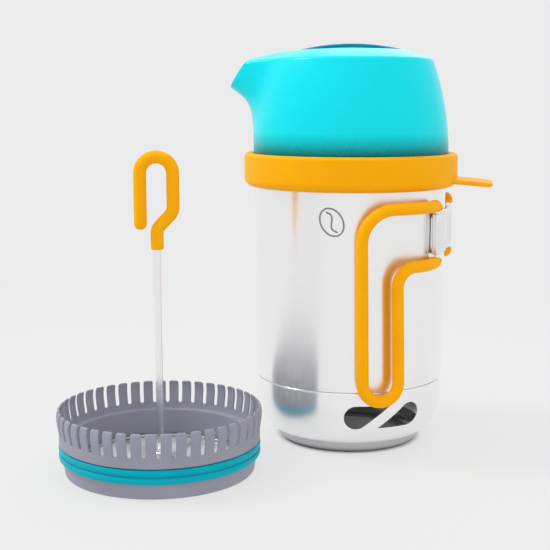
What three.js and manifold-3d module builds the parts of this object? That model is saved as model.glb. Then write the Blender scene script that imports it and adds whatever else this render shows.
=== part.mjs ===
// A camp kettle pot with a spouted lid, two swing-out wire handles and a coffee plunger standing
// beside it. Millimetres, +Z up. The handles are on the +X side, the spout points to -X and the
// origin is under the middle of the set's bounding box, on the surface that it stands on.
import * as THREE from 'three';
import { mergeVertices } from 'three/addons/utils/BufferGeometryUtils.js';
import Module from 'manifold-3d';

const wasm = await Module();
wasm.setup();

// ---------------------------------------------------------------- driving sizes
const RING_SIDES = 40;            // facets round a turned piece
const SEAT_GAP = 0.3;             // between pieces that touch

// pot wall, heat skirt and foot
const POT_RADIUS = 66;
const POT_WALL = 0.8;
const SEAM_Z = 46;                // top of the heat skirt
const RIM_Z = 196;
const POT_FLOOR_DROP = 8;         // pot floor below the seam
const FLOOR_CORNER = 6;
const SKIRT_WALL = 0.8;
const BOWL_START_DROP = 10;       // straight part of the skirt below the seam
const BOWL_IN = 20;               // how far the bowl's ellipse reaches inwards
const BOWL_BELOW_LIP = 1.4;       // the ellipse's lowest point below the foot ring's top
const LIP_ABOVE_FOOT = 0.6;
const FOOT_INSET = 1.8;           // foot ring inside the skirt's lower lip
const FOOT_HEIGHT = 7;
const FOOT_NECK = 4.5;            // part of the foot ring hidden inside the skirt
const FOOT_WALL = 1.2;
const FOOT_LEDGE = 10.3;          // the foot ring turns in by this much under the pot
const FOOT_FLAT = 3.5;            // width of the ring that stands on the table

// vents: three groups of two teardrops
const VENT_GROUPS = 3;
const VENT_ROUND = 8.2;           // radius of a teardrop's round end
const VENT_ROUND_OUT = 19.5;      // round end's centre from the middle of its group
const VENT_POINT_OUT = 5.1;       // the point reaches past the middle of its group
const VENT_POINT_DROP = 8.4;
const VENT_CENTRE_DROP = 17.5;    // middle of a group below the seam
const VENT_TURN = -63;            // degrees from the tab to the first group

// hinge bracket
const BRACKET_PLATE = 1.2;
const BRACKET_HEIGHT = 29;
const BRACKET_CORNER = 5;
const BRACKET_TURN = -6;          // degrees from the tab to the bracket's middle
const BARREL_HEIGHT = 27;
const BARREL_WALL = 0.9;
const BARREL_BITE = 0.4;          // how far a barrel sinks into the plate
const PIN_ANGLE = 23.2;           // degrees from the bracket's middle to a pin
const PIN_CLEARANCE = 0.35;

// handles
const WIRE_RADIUS = 2;
const SLEEVE_RADIUS = 4;
const SLEEVE_CLEARANCE = 0.45;
const HANDLE_STANDOFF = 9;        // wire centre from the pot wall
const HANDLE_MIDDLE_DROP = 47;    // hinge's middle below the rim
const HANDLE_SPAN = 38;           // between the upper and the lower run
const HANDLE_REACH = 65.3;        // along the wall from the pin to the far leg
const HANDLE_LEG_GAP = 24.5;
const HANDLE_DROP = 126;          // upper run to the bottom of the loop
const HANDLE_BIG_BEND = 22;
const HANDLE_SMALL_BEND = 13;
const HANDLE_PIN_BEND = 4.5;
const HANDLE_LEAN = 2.2;          // the loop's foot leans back towards the hinge
const SLEEVE_CLEAR = 1;           // bare wire above and below a barrel

// silicone rim ring
const RING_OVER_POT = 7.8;        // ring's outside from the pot wall
const RING_HEIGHT = 23;
const RING_ABOVE_RIM = 5;
const RING_TOP_ROUND = 2.5;
const RING_TAPER = 6;
const RING_LEAD_IN = 0.8;         // widening of the bore at the ring's bottom
const TAB_LENGTH = 24.2;          // from the ring's outside
const TAB_WIDTH = 38;
const TAB_CORNER = 6;
const TAB_FLARE = 3;              // extra width at the tab's root
const TAB_THICKNESS = 3.2;
const TAB_DROOP = 5;              // degrees

// lid
const LID_OVER_POT = 1.4;         // lid's base from the pot wall
const LID_WALL = 2;
const LID_FLANGE_OUT = 2.1;       // flange held in the ring's groove
const LID_FLANGE_THICKNESS = 2.5;
const LID_PLUG_DEPTH = 10;
const LID_PLUG_CLEARANCE = 0.5;
const LID_WALL_IN = 11.8;         // how far the wall curves in up to the domed top
const LID_WALL_HEIGHT = 68.5;     // rim to the edge of the top
const LID_DOME_RISE = 10.5;
const LID_BASE_HEIGHT = 4;        // top of the straight base above the rim
const SPOUT_SPREAD = 17;          // degrees
const SPOUT_LIP_OUT = 16.4;       // lip from the lid's base
const SPOUT_LIP_HEIGHT = 49;      // above the rim
const SPOUT_THROAT_FALL = 8.5;    // the throat dies away below the lip over about this height
const SPOUT_TOP_OUT = 2;          // top of the mouth from the lid's base
const RECESS_RADIUS = 36;
const RECESS_FLOOR_RADIUS = 22;
const RECESS_DEPTH = 14;
const GRIP_BAR_WIDTH = 20;
const GRIP_BAR_THICKNESS = 2.2;

// plunger
const PRESS_BEARING = -138.78;    // degrees round the pot from the tab
const PRESS_GAP = 18;             // between the pot wall and the seal
const HOOK_TURN = 9;              // degrees
const LIP_SQUEEZE = 1;            // free seal and comb against the pot's bore
const FRAME_CLEARANCE = 0.4;      // frame in the pot's bore
const SEAL_SEAT = 2.4;            // how far the frame steps in behind the seal
const FRAME_TAPER = 1.2;
const FRAME_WALL = 5.4;           // below the shelf, behind the seal
const SHELF_ABOVE_SEAL = 2.2;
const COMB_ABOVE_SHELF = 3;
const COMB_HEIGHT = 17;
const COMB_THICKNESS = 1.5;
const COMB_FINGERS = 45;
const COMB_SLOT = 2.5;
const SEAL_BOTTOM_Z = 9.9;
const SEAL_HEIGHT = 9.9;
const LEDGE_WIDTH = 3;            // ledge in the frame that the spider lies on
const SPIDER_Z = 1.5;
const SPIDER_BAND = 4;            // width of the spider's outer ring
const SPOKES = 6;
const SPOKE_WIDTH = 4;
const MESH_Z = 4;
const MESH_THICKNESS = 0.6;
const CLAMP_WIDTH = 4;
const CLAMP_HEIGHT = 1.6;
const HUB_RADIUS = 9;
const NUT_ACROSS = 9;
const NUT_HEIGHT = 5;
const ROD_RADIUS = 2.4;
const ROD_CLEARANCE = 0.4;
const HOOK_TOP_Z = 201.9;
const HOOK_LEG_OFFSET = 10.4;
const HOOK_TIP_DROP = 45.9;       // below the hook's top, as are the next three
const HOOK_JOG_TOP_DROP = 34.4;
const HOOK_JOG_BOTTOM_DROP = 45.4;
const HOOK_SLEEVE_DROP = 58.4;
const HOOK_JOG_BEND = 8;
const HOOK_SLEEVE_RADIUS = 4.1;
const HOOK_SLEEVE_CLEARANCE = 0.4;

// ---------------------------------------------------------------- sizes that follow
const POT_BORE = POT_RADIUS - POT_WALL;
const JOGGLE_RADIUS = POT_RADIUS - SKIRT_WALL - SEAT_GAP;
const POT_FLOOR_Z = SEAM_Z - POT_FLOOR_DROP;
const BOWL_TOP_Z = SEAM_Z - BOWL_START_DROP;
const BOWL_DEPTH = BOWL_TOP_Z - FOOT_HEIGHT + BOWL_BELOW_LIP;
const BOWL_LIP_TURN = Math.asin((BOWL_TOP_Z - FOOT_HEIGHT - LIP_ABOVE_FOOT) / BOWL_DEPTH);
const FOOT_RADIUS = POT_RADIUS - BOWL_IN * (1 - Math.cos(BOWL_LIP_TURN)) - FOOT_INSET;
const FOOT_HOLE_RADIUS = FOOT_RADIUS - FOOT_LEDGE;
const SLEEVE_BORE = WIRE_RADIUS + SLEEVE_CLEARANCE;
const BARREL_BORE = WIRE_RADIUS + PIN_CLEARANCE;
const BARREL_RADIUS = BARREL_BORE + BARREL_WALL;
const PLATE_RADIUS = POT_RADIUS + SEAT_GAP + BRACKET_PLATE;
const PIN_RADIUS = PLATE_RADIUS + BARREL_RADIUS - BARREL_BITE;
const HINGE_Z = RIM_Z - HANDLE_MIDDLE_DROP;
const HANDLE_RADIUS = POT_RADIUS + HANDLE_STANDOFF;
const RING_TOP_Z = RIM_Z + RING_ABOVE_RIM;
const RING_BOTTOM_Z = RING_TOP_Z - RING_HEIGHT;
const FLANGE_Z = RIM_Z + SEAT_GAP;
const FLANGE_TOP_Z = FLANGE_Z + LID_FLANGE_THICKNESS;
const LID_RADIUS = POT_RADIUS + LID_OVER_POT;
const LID_EDGE_RADIUS = LID_RADIUS - LID_WALL_IN;
const RING_RADIUS = POT_RADIUS + RING_OVER_POT;
const TAB_REACH = RING_RADIUS + TAB_LENGTH;
const SPOUT_LIP_REACH = LID_RADIUS + SPOUT_LIP_OUT;
const SPOUT_TOP_REACH = LID_RADIUS + SPOUT_TOP_OUT;
const LID_EDGE_Z = RIM_Z + LID_WALL_HEIGHT;
const LID_TOP_Z = LID_EDGE_Z + LID_DOME_RISE;
const DOME_RADIUS = (LID_EDGE_RADIUS ** 2 + LID_DOME_RISE ** 2) / (2 * LID_DOME_RISE);
const LIP_RADIUS = POT_BORE + LIP_SQUEEZE;
const FRAME_RADIUS = POT_BORE - FRAME_CLEARANCE;
const FRAME_LOWER_RADIUS = FRAME_RADIUS - SEAL_SEAT;
const FRAME_FOOT_RADIUS = FRAME_LOWER_RADIUS - FRAME_TAPER;
const FRAME_BORE = FRAME_LOWER_RADIUS - FRAME_WALL;
const SEAL_TOP_Z = SEAL_BOTTOM_Z + SEAL_HEIGHT;
const FRAME_SHELF_Z = SEAL_TOP_Z + SHELF_ABOVE_SEAL;
const COMB_ROOT_Z = FRAME_SHELF_Z + COMB_ABOVE_SHELF;
const COMB_TOP_Z = COMB_ROOT_Z + COMB_HEIGHT;
const PRESS_DISTANCE = POT_RADIUS + LIP_RADIUS + PRESS_GAP;
const HOOK_TIP_Z = HOOK_TOP_Z - HOOK_TIP_DROP;
const SPIDER_TOP_Z = MESH_Z - SEAT_GAP;
const MESH_TOP_Z = MESH_Z + MESH_THICKNESS;
const WASHER_Z = MESH_TOP_Z + SEAT_GAP;

// ---------------------------------------------------------------- materials
const finish = (color, roughness, metalness) =>
  new THREE.MeshStandardMaterial({ color, roughness, metalness });
const STEEL = finish(0xc9c9cb, 0.28, 1);
const STEEL_FOOT = finish(0xb9b9bc, 0.3, 1);
const SILICONE = finish(0xffb000, 0.55, 0);
const LID_PLASTIC = finish(0x12d8e4, 0.35, 0);
const BAR_PLASTIC = finish(0x0a86ac, 0.35, 0);
const FRAME_PLASTIC = finish(0x8c8c9c, 0.5, 0);
const SEAL_RUBBER = finish(0x00b4c4, 0.5, 0);

// ---------------------------------------------------------------- geometry helpers
const vec2 = (x, y) => new THREE.Vector2(x, y);
const vec3 = (x, y, z) => new THREE.Vector3(x, y, z);
const radians = THREE.MathUtils.degToRad;

// Merges shared vertices, drops flat triangles and turns the faces outwards.
function weld(geometry) {
  const bare = geometry.clone();
  bare.deleteAttribute('normal');
  bare.deleteAttribute('uv');
  const merged = mergeVertices(bare, 1e-4);
  const corners = merged.index.array;
  const place = merged.attributes.position;
  const faces = [];
  let volume = 0;
  for (let i = 0; i < corners.length; i += 3) {
    const [a, b, c] = [corners[i], corners[i + 1], corners[i + 2]];
    if (a === b || b === c || c === a) continue;
    faces.push([a, b, c]);
    const [pa, pb, pc] = [a, b, c].map((k) => vec3().fromBufferAttribute(place, k));
    volume += pa.dot(pb.cross(pc));
  }
  const ordered = volume < 0 ? faces.map(([a, b, c]) => [a, c, b]) : faces;
  merged.setIndex(ordered.flat());
  return merged;
}

function toSolid(geometry) {
  const welded = weld(geometry);
  return new wasm.Manifold(new wasm.Mesh({
    numProp: 3,
    vertProperties: new Float32Array(welded.attributes.position.array),
    triVerts: new Uint32Array(welded.index.array),
  }));
}

function fromSolid(solid) {
  const mesh = solid.getMesh();
  const geometry = new THREE.BufferGeometry();
  geometry.setAttribute('position', new THREE.BufferAttribute(mesh.vertProperties, 3));
  geometry.setIndex(new THREE.BufferAttribute(mesh.triVerts, 1));
  return geometry;
}

// Joins the solids of the first list and cuts away those of the second.
function carve(joined, cutters = []) {
  let solid = toSolid(joined[0]);
  for (const piece of joined.slice(1)) solid = solid.add(toSolid(piece));
  for (const piece of cutters) solid = solid.subtract(toSolid(piece));
  return fromSolid(solid);
}

function common(first, ...rest) {
  let solid = toSolid(first);
  for (const piece of rest) solid = solid.intersect(toSolid(piece));
  return fromSolid(solid);
}

// Turns a profile of (radius, height) points about Z; a profile off the axis is closed on itself.
function turned(profile, sides = RING_SIDES) {
  const onAxis = profile[0].x === 0 && profile.at(-1).x === 0;
  const points = onAxis ? profile : [...profile, profile[0]];
  return weld(new THREE.LatheGeometry(points, sides).rotateX(Math.PI / 2));
}

function ellipseArc(centre, radii, from, to, steps) {
  const points = [];
  for (let i = 0; i <= steps; i += 1) {
    const t = radians(from + (to - from) * i / steps);
    points.push(vec2(centre.x + radii.x * Math.cos(t), centre.y + radii.y * Math.sin(t)));
  }
  return points;
}

const arc = (centre, radius, from, to, steps) =>
  ellipseArc(centre, vec2(radius, radius), from, to, steps);

// Moves an open outline to its left by a distance.
function offsetOutline(points, distance) {
  return points.map((point, i) => {
    const before = points[Math.max(i - 1, 0)];
    const after = points[Math.min(i + 1, points.length - 1)];
    const along = after.clone().sub(before).normalize();
    return vec2(point.x - along.y * distance, point.y + along.x * distance);
  });
}

// A bent sheet's closed profile, from its outer line and its thickness to the left.
const sheetProfile = (outer, thickness) =>
  [...outer, ...offsetOutline(outer, thickness).reverse()];

function roundedBox(width, height, radius) {
  const shape = new THREE.Shape();
  const [x, y] = [width / 2 - radius, height / 2 - radius];
  shape.absarc(x, y, radius, 0, Math.PI / 2);
  shape.absarc(-x, y, radius, Math.PI / 2, Math.PI);
  shape.absarc(-x, -y, radius, Math.PI, Math.PI * 1.5);
  shape.absarc(x, -y, radius, Math.PI * 1.5, Math.PI * 2);
  return shape;
}

const circlePoints = (radius, sides) =>
  Array.from({ length: sides }, (_, i) => {
    const t = Math.PI * 2 * (i + 0.5) / sides;
    return vec2(radius * Math.cos(t), radius * Math.sin(t));
  });

// A route that is followed point by point, so that a tube and the bar inside it bend alike.
class Route extends THREE.Curve {
  constructor(points) {
    super();
    this.points = points;
  }

  getPointAt(u) {
    return this.points[Math.round(u * (this.points.length - 1))].clone();
  }

  getTangentAt(u) {
    const i = Math.round(u * (this.points.length - 1));
    const here = this.points[i];
    const toward = this.points[Math.min(i + 1, this.points.length - 1)].clone().sub(here).normalize();
    const from = here.clone().sub(this.points[Math.max(i - 1, 0)]).normalize();
    return toward.add(from).normalize();
  }
}

// A round bar, or a tube when it has a bore, along a row of points.
function barAlong(points, radius, bore = 0) {
  const section = new THREE.Shape(circlePoints(radius, 8));
  if (bore > 0) section.holes.push(new THREE.Path(circlePoints(bore, 8).reverse()));
  return weld(new THREE.ExtrudeGeometry(section,
    { extrudePath: new Route(points), steps: points.length - 1, bevelEnabled: false }));
}

// Rounds the corners of a flat polyline; radii belong to its inner corners.
function roundCorners(corners, radii, stepsPerBend) {
  const line = [corners[0].clone()];
  for (let i = 1; i < corners.length - 1; i += 1) {
    const before = corners[i - 1].clone().sub(corners[i]).normalize();
    const after = corners[i + 1].clone().sub(corners[i]).normalize();
    const half = before.angleTo(after) / 2;
    const middle = before.clone().add(after).normalize();
    const centre = corners[i].clone().addScaledVector(middle, radii[i - 1] / Math.sin(half));
    const reach = radii[i - 1] / Math.tan(half);
    const start = corners[i].clone().addScaledVector(before, reach).sub(centre);
    const end = corners[i].clone().addScaledVector(after, reach).sub(centre);
    const turn = Math.atan2(start.cross(end), start.dot(end));
    for (let k = 0; k <= stepsPerBend; k += 1) {
      line.push(start.clone().rotateAround(vec2(0, 0), turn * k / stepsPerBend).add(centre));
    }
  }
  line.push(corners.at(-1).clone());
  return line;
}

// Adds points to a flat line where it runs far across, so that it can be wrapped round the pot.
function subdivided(line, longest) {
  return line.flatMap((point, i) => {
    if (i === 0) return [point];
    const pieces = Math.max(1, Math.ceil(Math.abs(point.x - line[i - 1].x) / longest));
    return Array.from({ length: pieces }, (_, k) => line[i - 1].clone().lerp(point, (k + 1) / pieces));
  });
}

// ---------------------------------------------------------------- pot
function potShell() {
  const corner = FLOOR_CORNER - POT_WALL;
  const joggleBore = JOGGLE_RADIUS - POT_WALL;
  const outerCorner = vec2(JOGGLE_RADIUS - FLOOR_CORNER, POT_FLOOR_Z + FLOOR_CORNER);
  return turned([
    vec2(0, POT_FLOOR_Z),
    ...arc(outerCorner, FLOOR_CORNER, -90, 0, 3),
    vec2(JOGGLE_RADIUS, SEAM_Z),
    vec2(POT_RADIUS, SEAM_Z),
    vec2(POT_RADIUS, RIM_Z - POT_WALL / 2),
    vec2(POT_RADIUS - POT_WALL / 2, RIM_Z),
    vec2(POT_BORE, RIM_Z - POT_WALL / 2),
    vec2(POT_BORE, SEAM_Z + 2),
    vec2(joggleBore, SEAM_Z + 0.5),
    ...arc(outerCorner, corner, 0, -90, 3),
    vec2(0, POT_FLOOR_Z + POT_WALL),
  ]);
}

// The skirt's outside, from the seam down to its lower lip above the foot ring.
function skirtOutline() {
  const centre = vec2(POT_RADIUS - BOWL_IN, BOWL_TOP_Z);
  const lipTurn = THREE.MathUtils.radToDeg(BOWL_LIP_TURN);
  return [
    vec2(POT_RADIUS, SEAM_Z - SEAT_GAP),
    ...ellipseArc(centre, vec2(BOWL_IN, BOWL_DEPTH), 0, -lipTurn, 6),
  ];
}

// One teardrop's outline: its round end, then its point, in the plane that faces its own middle.
function ventShape(side) {
  const round = vec2(VENT_ROUND_OUT, 0);
  const point = vec2(-VENT_POINT_OUT, -VENT_POINT_DROP);
  const middle = (VENT_ROUND_OUT - VENT_POINT_OUT) / 2;
  const away = round.clone().sub(point);
  const heading = THREE.MathUtils.radToDeg(away.angle());
  const half = THREE.MathUtils.radToDeg(Math.asin(Math.min(0.95, VENT_ROUND / away.length())));
  const outline = [point, ...arc(round, VENT_ROUND, heading - 90 - half, heading + 90 + half, 7)];
  const flat = outline.map(({ x, y }) =>
    vec2(side * POT_RADIUS * Math.sin((x - middle) / POT_RADIUS), side * y));
  return { shape: new THREE.Shape(flat), turn: side * middle / POT_RADIUS };
}

function ventCutters() {
  const cutters = [];
  for (let group = 0; group < VENT_GROUPS; group += 1) {
    for (const side of [1, -1]) {
      const { shape, turn } = ventShape(side);
      const prism = new THREE.ExtrudeGeometry(shape, { depth: POT_RADIUS, bevelEnabled: false });
      prism.rotateX(Math.PI / 2).rotateZ(Math.PI / 2);
      prism.translate(POT_RADIUS * 0.4, 0, SEAM_Z - VENT_CENTRE_DROP);
      const groupTurn = radians(VENT_TURN + 360 * group / VENT_GROUPS);
      cutters.push(prism.rotateZ(groupTurn + turn));
    }
  }
  return cutters;
}

function heatSkirt() {
  return carve([turned(sheetProfile(skirtOutline(), -SKIRT_WALL))], ventCutters());
}

function footRing() {
  const flatEdge = FOOT_HOLE_RADIUS + FOOT_FLAT;
  const bulge = vec2(FOOT_RADIUS - flatEdge, FOOT_HEIGHT);
  return turned(sheetProfile([
    vec2(FOOT_RADIUS, FOOT_HEIGHT + FOOT_NECK),
    ...ellipseArc(vec2(flatEdge, FOOT_HEIGHT), bulge, 0, -90, 3),
    vec2(FOOT_HOLE_RADIUS, 0),
  ], -FOOT_WALL));
}

// ---------------------------------------------------------------- hinge bracket and handles
// Moves a shape that stands on the axis to one of the two pins.
function atPin(geometry, side) {
  const turn = radians(BRACKET_TURN + side * PIN_ANGLE);
  return geometry.translate(PIN_RADIUS * Math.cos(turn), PIN_RADIUS * Math.sin(turn), HINGE_Z);
}

const barrel = (side) => atPin(turned([
  vec2(BARREL_BORE, -BARREL_HEIGHT / 2),
  vec2(BARREL_RADIUS, -BARREL_HEIGHT / 2),
  vec2(BARREL_RADIUS, BARREL_HEIGHT / 2),
  vec2(BARREL_BORE, BARREL_HEIGHT / 2),
], 12), side);

const barrelBore = (side) => atPin(turned([
  vec2(0, -BRACKET_HEIGHT),
  vec2(BARREL_BORE, -BRACKET_HEIGHT),
  vec2(BARREL_BORE, BRACKET_HEIGHT),
  vec2(0, BRACKET_HEIGHT),
], 12), side);

function hingeBracket() {
  const low = HINGE_Z - BRACKET_HEIGHT / 2;
  const sleeve = turned([
    vec2(POT_RADIUS + SEAT_GAP, low),
    vec2(PLATE_RADIUS, low),
    vec2(PLATE_RADIUS, low + BRACKET_HEIGHT),
    vec2(POT_RADIUS + SEAT_GAP, low + BRACKET_HEIGHT),
  ], RING_SIDES * 2);
  const width = 2 * PLATE_RADIUS * Math.sin(radians(PIN_ANGLE)) + 2 * BARREL_RADIUS;
  const outline = new THREE.ExtrudeGeometry(
    roundedBox(width, BRACKET_HEIGHT, BRACKET_CORNER),
    { depth: PLATE_RADIUS, bevelEnabled: false, curveSegments: 4 },
  );
  outline.rotateX(Math.PI / 2).rotateZ(Math.PI / 2).translate(POT_RADIUS / 3, 0, HINGE_Z);
  outline.rotateZ(radians(BRACKET_TURN));
  return carve([common(sleeve, outline), barrel(1), barrel(-1)], [barrelBore(1), barrelBore(-1)]);
}

// The loop laid flat: x runs along the wall from the pin, y is the height above the hinge's middle.
function handleOutline() {
  const top = HANDLE_SPAN / 2;
  const bottom = top - HANDLE_DROP;
  const near = HANDLE_REACH - HANDLE_LEG_GAP;
  const bend = HANDLE_LEG_GAP / 2 - 0.05;
  return subdivided(roundCorners([
    vec2(0, SEAT_GAP),
    vec2(0, top),
    vec2(HANDLE_REACH, top),
    vec2(HANDLE_REACH - HANDLE_LEAN, bottom),
    vec2(near - HANDLE_LEAN, bottom),
    vec2(near, -top),
    vec2(0, -top),
    vec2(0, -SEAT_GAP),
  ], [HANDLE_PIN_BEND, HANDLE_BIG_BEND, bend, bend, HANDLE_SMALL_BEND, HANDLE_PIN_BEND], 4), 11);
}

// Wraps the flat loop round the pot; close to the pin it comes in to the hinge's radius.
function handlePoints(side) {
  return handleOutline().map(({ x, y }) => {
    const away = THREE.MathUtils.smoothstep(x, 0, HANDLE_BIG_BEND);
    const radius = PIN_RADIUS + (HANDLE_RADIUS - PIN_RADIUS) * away;
    const turn = radians(BRACKET_TURN) + side * (radians(PIN_ANGLE) + x / HANDLE_RADIUS);
    return vec3(radius * Math.cos(turn), radius * Math.sin(turn), HINGE_Z + y);
  });
}

const handleWire = (side) => barAlong(handlePoints(side), WIRE_RADIUS);

// The sleeve covers the wire from just above the barrel, round the loop, to just below it.
function handleGrip(side) {
  const outline = handleOutline();
  const bare = BRACKET_HEIGHT / 2 + SLEEVE_CLEAR;
  const points = handlePoints(side)
    .filter((_, i) => outline[i].x > HANDLE_PIN_BEND || Math.abs(outline[i].y) > bare);
  return barAlong(points, SLEEVE_RADIUS, SLEEVE_BORE);
}

// ---------------------------------------------------------------- rim ring and lid
function rimRing() {
  const grooveRadius = LID_RADIUS + LID_FLANGE_OUT + SEAT_GAP;
  const bore = POT_RADIUS + SEAT_GAP;
  const mouth = LID_RADIUS + SEAT_GAP;
  const ring = turned([
    vec2(bore, RING_BOTTOM_Z + RING_LEAD_IN),
    vec2(bore + RING_LEAD_IN, RING_BOTTOM_Z),
    ...ellipseArc(vec2(bore + RING_LEAD_IN, RING_BOTTOM_Z + RING_TAPER),
      vec2(RING_RADIUS - bore - RING_LEAD_IN, RING_TAPER), -70, 0, 3),
    ...arc(vec2(RING_RADIUS - RING_TOP_ROUND, RING_TOP_Z - RING_TOP_ROUND), RING_TOP_ROUND, 0, 90, 2),
    vec2(mouth, RING_TOP_Z),
    vec2(mouth, FLANGE_TOP_Z + SEAT_GAP),
    vec2(grooveRadius, FLANGE_TOP_Z + SEAT_GAP),
    vec2(grooveRadius, RIM_Z),
    vec2(bore, RIM_Z),
  ]);
  return carve([ring, pullTab()]);
}

// The tab: wider at its root inside the ring, with two round corners at its end.
function pullTab() {
  const root = RING_RADIUS - (RING_RADIUS - POT_RADIUS) / 3;
  const length = TAB_REACH - root;
  const half = TAB_WIDTH / 2;
  const outline = new THREE.Shape();
  outline.moveTo(0, -half - TAB_FLARE);
  outline.quadraticCurveTo(TAB_FLARE, -half, 2 * TAB_FLARE, -half);
  outline.absarc(length - TAB_CORNER, TAB_CORNER - half, TAB_CORNER, -Math.PI / 2, 0);
  outline.absarc(length - TAB_CORNER, half - TAB_CORNER, TAB_CORNER, 0, Math.PI / 2);
  outline.lineTo(2 * TAB_FLARE, half);
  outline.quadraticCurveTo(TAB_FLARE, half, 0, half + TAB_FLARE);
  const tab = new THREE.ExtrudeGeometry(outline,
    { depth: TAB_THICKNESS, bevelEnabled: false, curveSegments: 5 });
  return tab.rotateY(radians(TAB_DROOP)).translate(root, 0, RING_BOTTOM_Z + RING_TAPER / 2);
}

// Outlines of the lid's outside from its base to the middle of its top: plain and through the spout.
function lidOutlines() {
  const wallCurve = LID_RADIUS - LID_EDGE_RADIUS;
  const base = RIM_Z + LID_BASE_HEIGHT;
  const height = LID_EDGE_Z - base;
  const shares = [0, 0.19, 0.35, 0.48, 0.58, 0.7, 0.84, 1];
  const plain = shares.map((s) => vec2(LID_RADIUS - wallCurve * s * s, base + height * s));
  const lipZ = RIM_Z + SPOUT_LIP_HEIGHT;
  const throat = [33, 23, 14, 7, 0].map((drop) =>
    vec2(LID_RADIUS + SPOUT_LIP_OUT * Math.exp(-drop / SPOUT_THROAT_FALL), lipZ - drop));
  const pastLip = [
    vec2(SPOUT_LIP_REACH + 8, lipZ + 5.5),
    vec2(SPOUT_LIP_REACH + 13, LID_EDGE_Z - 5),
  ];
  const spout = [vec2(LID_RADIUS, base), ...throat, ...pastLip];
  const domeZ = (radius) => LID_TOP_Z - DOME_RADIUS + Math.sqrt(DOME_RADIUS ** 2 - radius ** 2);
  const rim = RECESS_RADIUS - 1;
  const plainTop = [0.2, 0.4, 0.6, 0.8].map((share) => {
    const radius = THREE.MathUtils.lerp(LID_EDGE_RADIUS, rim, share);
    return vec2(radius, domeZ(radius));
  });
  const spoutTop = [
    vec2(SPOUT_LIP_REACH, LID_EDGE_Z - 2),
    vec2(SPOUT_TOP_REACH, LID_EDGE_Z + 0.8),
    vec2(LID_EDGE_RADIUS + 2, LID_EDGE_Z + 3.6),
    vec2(LID_EDGE_RADIUS * 0.8, LID_EDGE_Z + 5.6),
  ];
  const crown = [vec2(rim, domeZ(rim)), vec2(0, LID_TOP_Z)];
  return { plain: [...plain, ...plainTop, ...crown], spout: [...spout, ...spoutTop, ...crown] };
}

// A solid whose profile changes round the axis; every profile starts and ends on the axis.
function shapedTurn(profileAt, angles) {
  const columns = angles.map((angle) => profileAt(angle).map((p) =>
    vec3(p.x * Math.cos(radians(angle)), p.x * Math.sin(radians(angle)), p.y)));
  const rows = columns[0].length;
  const places = columns.flat();
  const faces = [];
  columns.forEach((_, i) => {
    const next = (i + 1) % columns.length;
    for (let k = 0; k < rows - 1; k += 1) {
      const [a, b, c, d] = [i * rows + k, next * rows + k, next * rows + k + 1, i * rows + k + 1];
      faces.push(a, b, c, a, c, d);
    }
  });
  const geometry = new THREE.BufferGeometry().setFromPoints(places);
  geometry.setIndex(faces);
  return weld(geometry);
}

// Close steps across the spout, wide ones round the rest.
function lidAngles() {
  const fine = Array.from({ length: 13 }, (_, i) => 180 - 48 + 8 * i);
  const coarse = Array.from({ length: 21 }, (_, i) => 180 + 48 + 12 * (i + 1));
  return [...fine, ...coarse];
}

function lidOutlineAt(angle) {
  const { plain, spout } = lidOutlines();
  const away = (angle - 180) / SPOUT_SPREAD;
  const weight = Math.abs(away) < 2.6 ? Math.exp(-away * away) : 0;
  return plain.map((point, i) => point.clone().lerp(spout[i], weight));
}

function recess(grow, top) {
  const drop = LID_TOP_Z - DOME_RADIUS + Math.sqrt(DOME_RADIUS ** 2 - RECESS_RADIUS ** 2);
  const floorZ = LID_TOP_Z - RECESS_DEPTH;
  return turned([
    vec2(0, floorZ - grow),
    vec2(RECESS_FLOOR_RADIUS - 3 + grow, floorZ - grow),
    vec2(RECESS_FLOOR_RADIUS + grow, floorZ - grow + 2),
    vec2(RECESS_RADIUS + grow, drop),
    vec2(RECESS_RADIUS + grow, top),
    vec2(0, top),
  ], 28);
}

function mouthCutter() {
  const lip = vec2(SPOUT_LIP_REACH, RIM_Z + SPOUT_LIP_HEIGHT);
  const upper = vec2(SPOUT_TOP_REACH, LID_EDGE_Z);
  const slope = Math.atan2(lip.x - upper.x, upper.y - lip.y);
  const block = new THREE.BoxGeometry(60, 160, 120);
  block.translate(-30, 0, 0).rotateY(slope);
  return block.translate(-lip.x, 0, lip.y);
}

function lidShell() {
  const plugRadius = POT_BORE - LID_PLUG_CLEARANCE;
  const plugBore = plugRadius - LID_WALL;
  const plugZ = RIM_Z - LID_PLUG_DEPTH;
  const angles = lidAngles();
  const outside = shapedTurn((angle) =>
    [vec2(0, FLANGE_Z), vec2(LID_RADIUS, FLANGE_Z), ...lidOutlineAt(angle)], angles);
  const inside = shapedTurn((angle) => {
    const inner = offsetOutline(lidOutlineAt(angle), LID_WALL);
    inner[inner.length - 1] = vec2(0, LID_TOP_Z - LID_WALL);
    return [vec2(0, plugZ - 1), vec2(plugBore, plugZ - 1), vec2(plugBore, FLANGE_TOP_Z), ...inner];
  }, angles);
  const flange = turned([
    vec2(plugBore, plugZ),
    vec2(plugRadius, plugZ),
    vec2(plugRadius, FLANGE_Z),
    vec2(LID_RADIUS + LID_FLANGE_OUT, FLANGE_Z),
    vec2(LID_RADIUS + LID_FLANGE_OUT, FLANGE_TOP_Z),
    vec2(plugBore, FLANGE_TOP_Z),
  ]);
  const shell = toSolid(outside).add(toSolid(flange)).subtract(toSolid(inside));
  const dish = toSolid(recess(LID_WALL, LID_TOP_Z)).intersect(toSolid(outside));
  return fromSolid(shell.add(dish)
    .subtract(toSolid(recess(0, LID_TOP_Z + 5)))
    .subtract(toSolid(mouthCutter())));
}

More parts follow.
